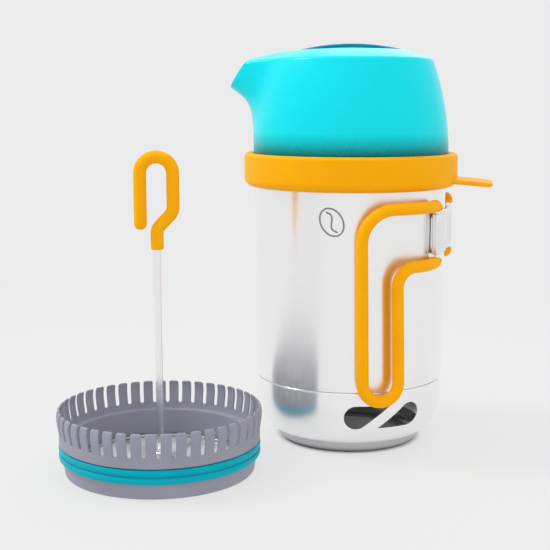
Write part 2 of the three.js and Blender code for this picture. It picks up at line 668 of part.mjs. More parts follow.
// A bar across the recess, cut from a dome shell as thick as the bar.
function lidGripBar() {
  const domeCentre = vec2(0, LID_TOP_Z - DOME_RADIUS);
  const cap = (radius) => [...arc(domeCentre, radius, 76, 90, 4).slice(0, -1),
    vec2(0, LID_TOP_Z - DOME_RADIUS + radius)];
  const crown = turned([...cap(DOME_RADIUS - GRIP_BAR_THICKNESS).reverse(), ...cap(DOME_RADIUS)], 28);
  const strip = new THREE.ExtrudeGeometry(
    roundedBox(RECESS_RADIUS * 2 + GRIP_BAR_WIDTH, GRIP_BAR_WIDTH, 1),
    { depth: 2 * RECESS_DEPTH, bevelEnabled: false, curveSegments: 1 },
  );
  strip.translate(0, 0, LID_TOP_Z - RECESS_DEPTH);
  return common(crown, strip, recess(-SEAT_GAP, LID_TOP_Z + RECESS_DEPTH));
}

// ---------------------------------------------------------------- plunger
function combFinger(index) {
  const bulge = LIP_RADIUS;
  const outer = [
    vec2(FRAME_RADIUS, COMB_ROOT_Z - 1),
    vec2(bulge, COMB_TOP_Z - 5),
    vec2(bulge - 0.9, COMB_TOP_Z),
  ];
  const profile = sheetProfile(outer, COMB_THICKNESS);
  const pitch = 360 / COMB_FINGERS;
  const slot = THREE.MathUtils.radToDeg(COMB_SLOT / FRAME_RADIUS);
  const half = (pitch - slot) / 2;
  const middle = index * pitch;
  const ends = [middle - half, middle + half].map((angle) => profile.map((p) =>
    vec3(p.x * Math.cos(radians(angle)), p.x * Math.sin(radians(angle)), p.y)));
  const count = profile.length;
  const cap = THREE.ShapeUtils.triangulateShape(profile, []);
  const faces = cap.flatMap(([a, b, c]) => [a, c, b, a + count, b + count, c + count]);
  for (let i = 0; i < count; i += 1) {
    const next = (i + 1) % count;
    faces.push(i, next, next + count, i, next + count, i + count);
  }
  const geometry = new THREE.BufferGeometry().setFromPoints(ends.flat());
  geometry.setIndex(faces);
  return weld(geometry);
}

function filterFrame() {
  const ledge = FRAME_BORE - LEDGE_WIDTH;
  const rim = turned([
    vec2(FRAME_FOOT_RADIUS - 1.5, 0),
    vec2(FRAME_FOOT_RADIUS, 1.5),
    vec2(FRAME_LOWER_RADIUS, SEAL_BOTTOM_Z + 1),
    vec2(FRAME_LOWER_RADIUS, SEAL_TOP_Z + SEAT_GAP),
    vec2(FRAME_RADIUS - 0.6, SEAL_TOP_Z + SEAT_GAP),
    vec2(FRAME_RADIUS, SEAL_TOP_Z + SEAT_GAP + 0.6),
    vec2(FRAME_RADIUS, COMB_ROOT_Z),
    vec2(FRAME_RADIUS - COMB_THICKNESS, COMB_ROOT_Z),
    vec2(FRAME_BORE, FRAME_SHELF_Z),
    vec2(FRAME_BORE, SPIDER_Z - SEAT_GAP),
    vec2(ledge, SPIDER_Z - SEAT_GAP),
    vec2(ledge, 0),
  ], COMB_FINGERS);
  return carve([rim, ...Array.from({ length: COMB_FINGERS }, (_, i) => combFinger(i))]);
}

function flatRing(inner, outer, low, high, sides) {
  return turned([vec2(inner, low), vec2(outer, low), vec2(outer, high), vec2(inner, high)], sides);
}

// The plate of spokes under the mesh, with the rod's hub in its middle.
function filterSpider() {
  const outer = FRAME_BORE - SEAT_GAP;
  const start = HUB_RADIUS / 2;
  const length = outer - SPIDER_BAND / 2 - start;
  const height = SPIDER_TOP_Z - SPIDER_Z;
  const spokes = Array.from({ length: SPOKES }, (_, i) =>
    new THREE.BoxGeometry(length, SPOKE_WIDTH, height)
      .translate(start + length / 2, 0, SPIDER_Z + height / 2)
      .rotateZ(Math.PI * 2 * (i + 0.25) / SPOKES));
  const bore = turned([vec2(0, 0), vec2(ROD_RADIUS + ROD_CLEARANCE, 0),
    vec2(ROD_RADIUS + ROD_CLEARANCE, MESH_Z), vec2(0, MESH_Z)], 16);
  const band = flatRing(outer - SPIDER_BAND, outer, SPIDER_Z, SPIDER_TOP_Z, COMB_FINGERS);
  const hub = flatRing(ROD_RADIUS + ROD_CLEARANCE, HUB_RADIUS, SPIDER_Z, SPIDER_TOP_Z, 16);
  return carve([band, hub, ...spokes], [bore]);
}

function filterSeal() {
  const rib = (SEAL_TOP_Z - SEAL_BOTTOM_Z) / 4;
  const bore = FRAME_LOWER_RADIUS + SEAT_GAP;
  const middle = (SEAL_BOTTOM_Z + SEAL_TOP_Z) / 2;
  const reach = LIP_RADIUS - bore - 1;
  return turned([
    vec2(bore, SEAL_BOTTOM_Z + 1),
    vec2(bore + 0.8, SEAL_BOTTOM_Z),
    ...ellipseArc(vec2(bore + 1, middle - rib), vec2(reach, rib * 0.95), -80, 70, 3),
    ...ellipseArc(vec2(bore + 1, middle + rib), vec2(reach, rib * 0.95), -70, 80, 3),
    vec2(bore, SEAL_TOP_Z - 1),
  ], COMB_FINGERS);
}

const filterMesh = () =>
  flatRing(ROD_RADIUS + ROD_CLEARANCE, FRAME_BORE - SEAT_GAP, MESH_Z, MESH_TOP_Z, 30);

function meshClampRing() {
  const outer = FRAME_BORE - SEAT_GAP;
  return flatRing(outer - CLAMP_WIDTH, outer, WASHER_Z, WASHER_Z + CLAMP_HEIGHT, 30);
}

const hubWasher = () =>
  flatRing(ROD_RADIUS + ROD_CLEARANCE, HUB_RADIUS, WASHER_Z, WASHER_Z + 1.2, 16);

function hubNut() {
  const low = WASHER_Z + 1.2 + SEAT_GAP;
  const corner = NUT_ACROSS / 2 / Math.cos(Math.PI / 6);
  const hex = new THREE.CylinderGeometry(corner, corner, NUT_HEIGHT, 6)
    .rotateX(Math.PI / 2).translate(0, 0, low + NUT_HEIGHT / 2);
  const bore = turned([vec2(0, 0), vec2(ROD_RADIUS + ROD_CLEARANCE, 0),
    vec2(ROD_RADIUS + ROD_CLEARANCE, low + NUT_HEIGHT + 2), vec2(0, low + NUT_HEIGHT + 2)], 16);
  return carve([hex], [bore]);
}

// The hook in its own plane: x across, y up.
function hookOutline() {
  const bend = HOOK_LEG_OFFSET - 0.05;
  return roundCorners([
    vec2(0, 1.6),
    vec2(0, HOOK_TOP_Z - HOOK_JOG_BOTTOM_DROP),
    vec2(HOOK_LEG_OFFSET, HOOK_TOP_Z - HOOK_JOG_TOP_DROP),
    vec2(HOOK_LEG_OFFSET, HOOK_TOP_Z),
    vec2(-HOOK_LEG_OFFSET, HOOK_TOP_Z),
    vec2(-HOOK_LEG_OFFSET, HOOK_TIP_Z),
  ], [HOOK_JOG_BEND, HOOK_JOG_BEND, bend, bend], 4);
}

const hookPoints = (outline) => outline.map(({ x, y }) => vec3(x, 0, y));

function pressRod() {
  const outline = hookOutline();
  const tip = outline.at(-1).clone();
  outline[outline.length - 1] = tip.setY(tip.y + 2);
  return barAlong(hookPoints(outline), ROD_RADIUS);
}

function hookGrip() {
  const outline = hookOutline().slice(1);
  const start = vec2(0, HOOK_TOP_Z - HOOK_SLEEVE_DROP);
  const points = hookPoints([start, ...outline]);
  return barAlong(points, HOOK_SLEEVE_RADIUS, ROD_RADIUS + HOOK_SLEEVE_CLEARANCE);
}

// ---------------------------------------------------------------- assembly
function named(name, geometry, material) {
  const mesh = new THREE.Mesh(geometry, material);
  mesh.name = name;
  return mesh;
}

function kettle() {
  const group = new THREE.Group();
  group.add(
    named('pot_shell', potShell(), STEEL),
    named('heat_skirt', heatSkirt(), STEEL),
    named('foot_ring', footRing(), STEEL_FOOT),
    named('hinge_bracket', hingeBracket(), STEEL),
    named('rim_ring', rimRing(), SILICONE),
    named('lid_shell', lidShell(), LID_PLASTIC),
    named('lid_grip_bar', lidGripBar(), BAR_PLASTIC),
  );
  for (const [label, side] of [['front', -1], ['rear', 1]]) {
    group.add(
      named(`handle_wire_${label}`, handleWire(side), STEEL),
      named(`handle_grip_${label}`, handleGrip(side), SILICONE),
    );
  }
  return group;
}

function plunger() {
  const group = new THREE.Group();
  group.add(
    named('filter_frame', filterFrame(), FRAME_PLASTIC),
    named('filter_spider', filterSpider(), FRAME_PLASTIC),
    named('filter_seal', filterSeal(), SEAL_RUBBER),
    named('filter_mesh', filterMesh(), STEEL),
    named('mesh_clamp_ring', meshClampRing(), STEEL),
    named('hub_washer', hubWasher(), STEEL),
    named('hub_nut', hubNut(), STEEL),
  );
  const rod = new THREE.Group();
  rod.add(
    named('press_rod', pressRod(), STEEL),
    named('press_hook_grip', hookGrip(), SILICONE),
  );
  rod.rotation.z = radians(HOOK_TURN);
  group.add(rod);
  const bearing = radians(PRESS_BEARING);
  group.position.set(PRESS_DISTANCE * Math.cos(bearing), PRESS_DISTANCE * Math.sin(bearing), 0);
  return group;
}

// Puts the middle of the set's footprint over the origin.
function centred(group) {
  group.updateMatrixWorld(true);
  const middle = new THREE.Box3().setFromObject(group, true).getCenter(vec3(0, 0, 0));
  group.position.set(-middle.x, -middle.y, 0);
  return group;
}

const set = centred(new THREE.Group().add(kettle(), plunger()));

export default set;
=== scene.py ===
"""A camp kettle pot with a spouted lid and wire handles, and a coffee plunger standing beside it.

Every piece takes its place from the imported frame. Lengths are in metres, +Z is up, and each
piece is drawn round the upright axis of its own sub-assembly.
"""

import bisect
import cmath
import logging
import math
from collections.abc import Callable, Iterable, Sequence
from dataclasses import dataclass, field
from enum import Enum

import bmesh
import bpy
from mathutils import Matrix, Vector


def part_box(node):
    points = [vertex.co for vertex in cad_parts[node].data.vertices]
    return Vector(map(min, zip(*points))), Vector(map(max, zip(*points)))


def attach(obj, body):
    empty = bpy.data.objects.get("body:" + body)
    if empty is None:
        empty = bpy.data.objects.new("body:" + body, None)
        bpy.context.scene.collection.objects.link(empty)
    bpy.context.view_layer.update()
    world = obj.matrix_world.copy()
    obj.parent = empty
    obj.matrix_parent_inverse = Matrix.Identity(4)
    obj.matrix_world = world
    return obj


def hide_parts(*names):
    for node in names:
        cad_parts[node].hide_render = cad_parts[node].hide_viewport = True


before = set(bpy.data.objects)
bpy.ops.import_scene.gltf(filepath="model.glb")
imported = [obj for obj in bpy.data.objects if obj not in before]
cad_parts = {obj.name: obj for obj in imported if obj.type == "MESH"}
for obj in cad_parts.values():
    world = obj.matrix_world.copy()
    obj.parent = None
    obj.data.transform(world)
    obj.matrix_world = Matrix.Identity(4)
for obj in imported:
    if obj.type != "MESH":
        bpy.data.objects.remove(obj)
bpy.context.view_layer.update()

log = logging.getLogger("camp_kettle")

MM = 0.001
ON_AXIS = 1e-7  # a radius under this lies on the axis
Point = tuple[float, float]
Triple = tuple[float, float, float]
Colour = Triple


# ---------------------------------------------------------------- outlines
def rounded(corners: Sequence[Point], radii: Sequence[float], closed: bool = True,
            steps: int = 6) -> list[Point]:
    """Rounds the corners of a flat outline.

    Args:
        corners: the outline's corners in order.
        radii: one radius for each corner; zero keeps it sharp.
        closed: whether the last corner joins the first one.
        steps: pieces in each rounded corner.

    Returns:
        The outline with an arc in place of each rounded corner.
    """
    line: list[Point] = []
    count = len(corners)
    for i, corner in enumerate(corners):
        is_end = not closed and i in (0, count - 1)
        if is_end or radii[i] == 0:
            line.append(corner)
            continue
        here = complex(*corner)
        before = complex(*corners[i - 1]) - here
        after = complex(*corners[(i + 1) % count]) - here
        before /= abs(before)
        after /= abs(after)
        half = abs(cmath.phase(after / before)) / 2
        middle = (before + after) / abs(before + after)
        centre = here + middle * radii[i] / math.sin(half)
        start = here + before * radii[i] / math.tan(half) - centre
        end = here + after * radii[i] / math.tan(half) - centre
        turn = cmath.phase(end / start)
        for k in range(steps + 1):
            spot = centre + start * cmath.exp(1j * turn * k / steps)
            line.append((spot.real, spot.imag))
    return line


def close_points(line: Sequence[Point], longest: float) -> list[Point]:
    """Adds points to a line so that no step is longer than asked.

    Args:
        line: the line's points.
        longest: the longest step that may stay.

    Returns:
        The line with the added points.
    """
    dense = [line[0]]
    for start, end in zip(line, line[1:]):
        pieces = max(1, math.ceil(math.dist(start, end) / longest))
        for k in range(1, pieces + 1):
            share = k / pieces
            dense.append((start[0] + (end[0] - start[0]) * share,
                          start[1] + (end[1] - start[1]) * share))
    return dense


def ellipse(centre: Point, radii: Point, start: float, end: float, steps: int) -> list[Point]:
    """Points on an ellipse's arc, from one angle to another in degrees."""
    line = []
    for k in range(steps + 1):
        turn = math.radians(start + (end - start) * k / steps)
        line.append((centre[0] + radii[0] * math.cos(turn),
                     centre[1] + radii[1] * math.sin(turn)))
    return line


def smooth_step(value: float, low: float, high: float) -> float:
    """Rises smoothly from 0 at low to 1 at high."""
    share = min(1.0, max(0.0, (value - low) / (high - low)))
    return share * share * (3 - 2 * share)


def through(points: Sequence[Point], shares: Sequence[float], share: float) -> Point:
    """A point on the smooth curve that passes through given points.

    Args:
        points: the points that the curve passes through.
        shares: the rising share of the way at which each point is reached.
        share: the share of the way that is wanted.

    Returns:
        The curve's point there.
    """
    last = len(points) - 1
    i = min(max(bisect.bisect_right(shares, share) - 1, 0), last - 1)
    width = shares[i + 1] - shares[i]
    t = (share - shares[i]) / width
    spot = []
    for axis in (0, 1):
        slopes = []
        for k in (i, i + 1):
            low, high = max(k - 1, 0), min(k + 1, last)
            rise = points[high][axis] - points[low][axis]
            slopes.append(rise / (shares[high] - shares[low]) * width)
        a, b = points[i][axis], points[i + 1][axis]
        spot.append((2 * t**3 - 3 * t**2 + 1) * a + (t**3 - 2 * t**2 + t) * slopes[0]
                    + (3 * t**2 - 2 * t**3) * b + (t**3 - t**2) * slopes[1])
    return spot[0], spot[1]


# ---------------------------------------------------------------- shapes
@dataclass
class Shape:
    """Corners and faces of a piece that isn't an object yet."""

    corners: list[Vector] = field(default_factory=list)
    faces: list[tuple[int, ...]] = field(default_factory=list)

    def join(self, *others: "Shape") -> "Shape":
        """Adds the corners and faces of other shapes to this one and returns it."""
        for other in others:
            start = len(self.corners)
            self.corners.extend(other.corners)
            self.faces.extend(tuple(i + start for i in face) for face in other.faces)
        return self

    def row(self, places: Iterable[Vector]) -> list[int]:
        """Adds corners and returns their numbers."""
        start = len(self.corners)
        self.corners.extend(places)
        return list(range(start, len(self.corners)))

    def skin(self, rows: Sequence[list[int]], is_capped: bool = False) -> "Shape":
        """Joins closed rows of corners with faces.

        Args:
            rows: rows with the same number of corners; a row may repeat one corner.
            is_capped: whether the first and the last row become faces too.

        Returns:
            The shape itself.
        """
        for low, high in zip(rows, rows[1:]):
            for k, corner in enumerate(low):
                n = (k + 1) % len(low)
                face = tuple(dict.fromkeys((corner, low[n], high[n], high[k])))
                if len(face) > 2:
                    self.faces.append(face)
        if is_capped:
            self.faces.extend((tuple(rows[0]), tuple(rows[-1])))
        return self

    def moved(self, matrix: Matrix) -> "Shape":
        """A copy of the shape, moved by a matrix."""
        return Shape([matrix @ corner for corner in self.corners], list(self.faces))

    def turned(self, degrees: float) -> "Shape":
        """A copy of the shape, turned about the upright axis."""
        return self.moved(Matrix.Rotation(math.radians(degrees), 4, "Z"))

    def piece(self, name: str, material: bpy.types.Material, axis: Vector,
              crease: float = 38.0, weld: float = 0.002 * MM) -> bpy.types.Object:
        """Makes the shape an object.

        Args:
            name: the object's name.
            material: its material.
            axis: where the shape's own axis stands.
            crease: edges bent more than this many degrees stay sharp.
            weld: corners closer than this become one.

        Returns:
            The new object, in the scene.
        """
        mesh = bpy.data.meshes.new(name)
        mesh.from_pydata([tuple(corner) for corner in self.corners], [], self.faces)
        work = bmesh.new()
        work.from_mesh(mesh)
        bmesh.ops.remove_doubles(work, verts=work.verts, dist=weld)
        bmesh.ops.recalc_face_normals(work, faces=work.faces)
        work.to_mesh(mesh)
        work.free()
        mesh.shade_smooth()
        mesh.set_sharp_from_angle(angle=math.radians(crease))
        mesh.materials.append(material)
        made = bpy.data.objects.new(name, mesh)
        made.location = (axis.x, axis.y, 0)
        bpy.context.scene.collection.objects.link(made)
        return made


def circle(radius: float, height: float, sides: int) -> list[Vector]:
    """Evenly spaced places on a level circle round the upright axis."""
    turns = (math.tau * k / sides for k in range(sides))
    return [Vector((radius * math.cos(turn), radius * math.sin(turn), height)) for turn in turns]


def turned(profile: Sequence[Point], sides: int = 192) -> Shape:
    """Turns a flat profile about the upright axis.

    Args:
        profile: (radius, height) points; one that starts and ends off the axis is closed.
        sides: steps round the axis.

    Returns:
        The turned shape.
    """
    shape = Shape()
    rows: list[list[int]] = []
    for radius, height in profile:
        if radius < ON_AXIS:
            rows.append(shape.row([Vector((0, 0, height))]) * sides)
        else:
            rows.append(shape.row(circle(radius, height, sides)))
    if profile[0][0] >= ON_AXIS:
        rows.append(rows[0])
    return shape.skin(rows)


class Spine:
    """A line through close points, with cross directions that don't twist along it."""

    def __init__(self, points: Iterable[Vector]) -> None:
        """Measures the line and carries a cross direction along it."""
        self.points = list(points)
        self.reach = [0.0]
        for start, end in zip(self.points, self.points[1:]):
            self.reach.append(self.reach[-1] + (end - start).length)
        self.tangents = []
        last = len(self.points) - 1
        for i in range(last + 1):
            step = self.points[min(i + 1, last)] - self.points[max(i - 1, 0)]
            self.tangents.append(step.normalized())
        across = self.tangents[0].orthogonal().normalized()
        self.across = [across]
        for before, after in zip(self.tangents, self.tangents[1:]):
            across = before.rotation_difference(after) @ across
            across = (across - after * across.dot(after)).normalized()
            self.across.append(across)

    @property
    def length(self) -> float:
        """The line's whole length."""
        return self.reach[-1]

    def at(self, distance: float) -> tuple[Vector, Vector, Vector]:
        """The place and the two cross directions at a distance along the line."""
        i = min(max(bisect.bisect_right(self.reach, distance) - 1, 0), len(self.points) - 2)
        share = (distance - self.reach[i]) / (self.reach[i + 1] - self.reach[i])
        place = self.points[i].lerp(self.points[i + 1], share)
        tangent = self.tangents[i].lerp(self.tangents[i + 1], share).normalized()
        across = self.across[i].lerp(self.across[i + 1], share)
        across = (across - tangent * across.dot(tangent)).normalized()
        return place, across, tangent.cross(across)


def swept(spine: Spine, outline: Sequence[Point], sides: int = 32) -> Shape:
    """Draws a round bar along a line.

    Args:
        spine: the bar's middle line.
        outline: (distance along the line, radius) pairs; a radius of zero closes an end.
        sides: steps round the bar.

    Returns:
        The bar.
    """
    shape = Shape()
    rows: list[list[int]] = []
    for distance, radius in outline:
        place, across, up = spine.at(distance)
        if radius < ON_AXIS:
            rows.append(shape.row([place]) * sides)
        else:
            rows.append(shape.row(place + across * spot.x + up * spot.y
                                  for spot in circle(radius, 0, sides)))
    return shape.skin(rows)


def bar_outline(spine: Spine, radius: float, start: float, end: float, fillet: float,
                bore: float = 0.0, depth: float = 0.0) -> list[Point]:
    """The outline of a round bar or sleeve between two distances along its line.

    Args:
        spine: the bar's middle line.
        radius: the bar's radius.
        start: where it begins along the line.
        end: where it ends.
        fillet: rounding of its two ends.
        bore: radius of the hole in each end, or zero for a solid bar.
        depth: how far the hole is drawn inwards.

    Returns:
        Outline pairs for swept.
    """
    opening = [(start + depth, 0.0), (start + depth, bore), (start, bore)] if bore else [(start, 0.0)]
    closing = [(end, bore), (end - depth, bore), (end - depth, 0.0)] if bore else [(end, 0.0)]
    nose = ellipse((start + fillet, radius - fillet), (fillet, fillet), 180, 90, 5)
    tail = ellipse((end - fillet, radius - fillet), (fillet, fillet), 90, 0, 5)
    middle = [(reach, radius) for reach in spine.reach if start + fillet < reach < end - fillet]
    return [*opening, *nose, *middle, *tail, *closing]


def never(spot: Point) -> bool:
    """Says no of every point: for a sheet that joins no other copy."""
    return False


@dataclass
class FlatSheet:
    """A flat sheet with holes, cut into small cells so that it can be bent.

    Attributes:
        outline: the sheet's edge, as (along, up) points.
        holes: the edges of its holes.
        across_cuts: values along at which it is cut into cells.
        up_cuts: heights at which it is cut into cells.
    """

    outline: Sequence[Point]
    holes: Sequence[Sequence[Point]]
    across_cuts: Sequence[float]
    up_cuts: Sequence[float]

    def cells(self) -> bmesh.types.BMesh:
        """Fills the outline and cuts it into cells."""
        work = bmesh.new()
        for loop in (self.outline, *self.holes):
            corners = [work.verts.new((x, y, 0)) for x, y in loop]
            for i, corner in enumerate(corners):
                work.edges.new((corners[i - 1], corner))
        bmesh.ops.triangle_fill(work, use_beauty=True, edges=work.edges[:])
        for direction, cuts in (((1, 0, 0), self.across_cuts), ((0, 1, 0), self.up_cuts)):
            for cut in cuts:
                everything = work.verts[:] + work.edges[:] + work.faces[:]
                place = Vector(direction) * cut
                bmesh.ops.bisect_plane(work, geom=everything, plane_co=place, plane_no=direction)
        bmesh.ops.remove_doubles(work, verts=work.verts, dist=0.001 * MM)
        return work

    def bent(self, place: Callable[[float, float, float], Vector], thickness: float,
             is_joint: Callable[[Point], bool], is_side: Callable[[Point], bool]) -> Shape:
        """Bends the sheet and gives it a thickness and round edges.

        Args:
            place: gives the place of an (along, up, depth) point.
            thickness: the sheet's thickness.
            is_joint: tells of a point whether it lies where the next copy joins on.
            is_side: tells of a point whether the round edge stays square to a side there.

        Returns:
            The bent sheet, open where it joins the next copy.
        """
        work = self.cells()
        work.verts.ensure_lookup_table()
        work.verts.index_update()
        flat = [(v.co.x, v.co.y) for v in work.verts]
        count = len(flat)
        shape = Shape([place(x, y, 0.0) for x, y in flat] + [place(x, y, thickness) for x, y in flat])
        outward: dict[int, Vector] = {}
        rims = []
        for face in work.faces:
            ring = [v.index for v in face.verts]
            shape.faces.append(tuple(ring))
            shape.faces.append(tuple(i + count for i in reversed(ring)))
        for edge in work.edges:
            a, b = (v.index for v in edge.verts)
            if len(edge.link_faces) != 1 or (is_joint(flat[a]) and is_joint(flat[b])):
                continue
            rims.append((a, b))
            along = edge.verts[1].co - edge.verts[0].co
            normal = Vector((along.y, -along.x)).normalized()
            inside = edge.link_faces[0].calc_center_median() - edge.verts[0].co
            if normal.dot(inside.xy) > 0:
                normal.negate()
            for i in (a, b):
                outward[i] = outward.get(i, Vector((0, 0))) + normal
        steps = 6
        rows: dict[int, list[int]] = {}
        for i, normal in outward.items():
            if is_side(flat[i]):
                normal.x = 0
            normal.normalize()
            row = [i]
            for k in range(1, steps):
                turn = math.pi * k / steps
                out = normal * math.sin(turn) * thickness / 2
                depth = (1 - math.cos(turn)) * thickness / 2
                row.append(len(shape.corners))
                shape.corners.append(place(flat[i][0] + out.x, flat[i][1] + out.y, depth))
            row.append(i + count)
            rows[i] = row
        for a, b in rims:
            for k in range(steps):
                shape.faces.append((rows[a][k], rows[b][k], rows[b][k + 1], rows[a][k + 1]))
        work.free()
        return shape


# ---------------------------------------------------------------- finishes
class Recipe:
    """A material's nodes, with short calls to add and join them."""

    def __init__(self, name: str) -> None:
        """Starts a material with one principled shader."""
        self.material = bpy.data.materials.new(name)
        self.material.use_nodes = True
        self.tree = self.material.node_tree
        self.shader = self.tree.nodes["Principled BSDF"]

    def set(self, **values: object) -> None:
        """Sets or joins the shader's sockets, whose spaces are written as underscores."""
        for name, value in values.items():
            self.feed(self.shader.inputs[name.replace("_", " ")], value)

    def feed(self, socket: bpy.types.NodeSocket, value: object) -> None:
        """Joins a socket to another one, or sets its value."""
        if isinstance(value, bpy.types.NodeSocket):
            self.tree.links.new(value, socket)
        elif isinstance(value, tuple) and len(value) == 3 and len(socket.default_value) == 4:
            socket.default_value = (*value, 1.0)
        else:
            socket.default_value = value

    def add(self, kind: str, inputs: dict[str, object], **settings: object) -> bpy.types.Node:
        """Adds a node with its inputs and settings."""
        made = self.tree.nodes.new(kind)
        for name, value in settings.items():
            setattr(made, name, value)
        for name, value in inputs.items():
            self.feed(made.inputs[name], value)
        return made

    def place(self) -> bpy.types.NodeSocket:
        """The place on the piece, from its own axis."""
        return self.add("ShaderNodeTexCoord", {}).outputs["Object"]

    def stretched(self, vector: bpy.types.NodeSocket, sizes: Triple) -> bpy.types.NodeSocket:
        """Divides a vector by a size along each axis."""
        scale = tuple(1 / size for size in sizes)
        return self.add("ShaderNodeMapping", {"Vector": vector, "Scale": scale}).outputs[0]

    def maths(self, operation: str, first: object, second: object) -> bpy.types.NodeSocket:
        """One sum of two numbers."""
        made = self.tree.nodes.new("ShaderNodeMath")
        made.operation = operation
        self.feed(made.inputs[0], first)
        self.feed(made.inputs[1], second)
        return made.outputs[0]

    def noise(self, vector: bpy.types.NodeSocket, detail: float = 3.0,
              roughness: float = 0.55) -> bpy.types.NodeSocket:
        """Cloudy noise, one cell for each whole number of the vector."""
        inputs = {"Vector": vector, "Scale": 1.0, "Detail": detail, "Roughness": roughness}
        return self.add("ShaderNodeTexNoise", inputs).outputs["Fac"]

    def grains(self, place: bpy.types.NodeSocket, size: float, detail: float = 3.0,
               roughness: float = 0.55) -> bpy.types.NodeSocket:
        """Noise with cells of one size each way."""
        return self.noise(self.stretched(place, (size,) * 3), detail, roughness)

    def spread(self, value: bpy.types.NodeSocket, low: float, high: float) -> bpy.types.NodeSocket:
        """Spreads a noise's middle range between two values."""
        inputs = {"Value": value, "From Min": 0.3, "From Max": 0.7, "To Min": low, "To Max": high}
        return self.add("ShaderNodeMapRange", inputs).outputs[0]

    def colours(self, value: bpy.types.NodeSocket,
                stops: Sequence[tuple[float, Colour]]) -> bpy.types.NodeSocket:
        """A colour that follows a value through stops of (value, colour)."""
        made = self.add("ShaderNodeValToRGB", {"Fac": value})
        ramp = made.color_ramp
        for element, (position, colour) in zip(ramp.elements, (stops[0], stops[-1])):
            element.position = position
            element.color = (*colour, 1.0)
        for position, colour in stops[1:-1]:
            ramp.elements.new(position).color = (*colour, 1.0)
        return made.outputs["Color"]

    def bump(self, height: bpy.types.NodeSocket, depth: float) -> bpy.types.NodeSocket:
        """Raises the surface by a height times a depth in metres."""
        inputs = {"Height": height, "Distance": depth, "Strength": 1.0}
        return self.add("ShaderNodeBump", inputs).outputs["Normal"]


class Brush(Enum):
    """The way that brush lines run on a steel piece."""

    ROUND = "round the axis"
    NONE = "drawn or rolled, without lines"


def shaded(colour: Colour, share: float) -> Colour:
    """A colour made darker or lighter by a share."""
    return tuple(min(1.0, part * share) for part in colour)


@dataclass(frozen=True)
class Steel:
    """Stainless steel, brushed or drawn."""

    name: str
    tone: Colour = (0.80, 0.80, 0.81)
    roughness: float = 0.3
    brush: Brush = Brush.ROUND
    line_pitch: float = 0.5 * MM
    line_length: float = 34 * MM
    line_depth: float = 0.00002 * MM
    handling: float = 30 * MM
    stretch: float = 0.75

    def material(self) -> bpy.types.Material:
        """Makes the metal: fine lines, slow changes of tone and faint handling marks."""
        recipe = Recipe(self.name)
        place = recipe.place()
        cloud = recipe.grains(place, self.handling, 4.0)
        fine = self.grain(recipe, place)
        tone = recipe.colours(fine, [(0.3, shaded(self.tone, 0.99)), (0.7, shaded(self.tone, 1.005))])
        gloss = recipe.maths("ADD", recipe.spread(fine, -0.01, 0.01),
                             recipe.spread(cloud, self.roughness - 0.01, self.roughness + 0.015))
        recipe.set(Base_Color=tone, Metallic=1.0, Roughness=gloss,
                   Normal=recipe.bump(fine, self.line_depth))
        if self.brush is Brush.ROUND:
            around = recipe.add("ShaderNodeTangent", {}, direction_type="RADIAL", axis="Z")
            recipe.set(Anisotropic=self.stretch, Anisotropic_Rotation=0.25, Tangent=around.outputs[0])
        return recipe.material

    def grain(self, recipe: Recipe, place: bpy.types.NodeSocket) -> bpy.types.NodeSocket:
        """The height of the brush lines or of the drawn surface."""
        if self.brush is Brush.NONE:
            return recipe.noise(recipe.stretched(place, (1.1 * MM, 1.1 * MM, 5 * MM)), 4.0)
        parts = recipe.add("ShaderNodeSeparateXYZ", {"Vector": place}).outputs
        flat = recipe.add("ShaderNodeCombineXYZ", {"X": parts["X"], "Y": parts["Y"]}).outputs[0]
        out = recipe.add("ShaderNodeVectorMath", {"Vector": flat}, operation="LENGTH").outputs["Value"]
        rise = recipe.maths("ADD", parts["Z"], out)
        along = {"X": parts["X"], "Y": parts["Y"], "Z": rise}
        lines = recipe.add("ShaderNodeCombineXYZ", along).outputs[0]
        sizes = (self.line_length, self.line_length, self.line_pitch)
        return recipe.noise(recipe.stretched(lines, sizes), 2.5, 0.5)


@dataclass(frozen=True)
class Silicone:
    """Satin moulded silicone."""

    name: str
    tone: Colour
    deep: Colour
    roughness: float = 0.46
    shine: float = 0.09
    grain: float = 0.35 * MM
    grain_depth: float = 0.008 * MM
    cloud: float = 18 * MM
    glow: float = 0.12

    def material(self) -> bpy.types.Material:
        """Makes the rubber: a fine moulded grain, slow tone changes and a little soft glow."""
        recipe = Recipe(self.name)
        place = recipe.place()
        cloud = recipe.grains(place, self.cloud)
        grain = recipe.grains(place, self.grain, 4.0)
        speck = recipe.grains(place, self.grain * 5, 2.0)
        tone = recipe.colours(cloud, [(0.3, self.deep), (0.7, self.tone)])
        gloss = recipe.maths("ADD", recipe.spread(speck, -0.04, 0.05),
                             recipe.spread(cloud, self.roughness - 0.03, self.roughness + 0.03))
        recipe.set(Base_Color=tone, Roughness=gloss, Subsurface_Weight=self.glow,
                   Subsurface_Radius=(1.0, 0.5, 0.1), Subsurface_Scale=2 * MM,
                   Specular_IOR_Level=self.shine, Normal=recipe.bump(grain, self.grain_depth))
        return recipe.material


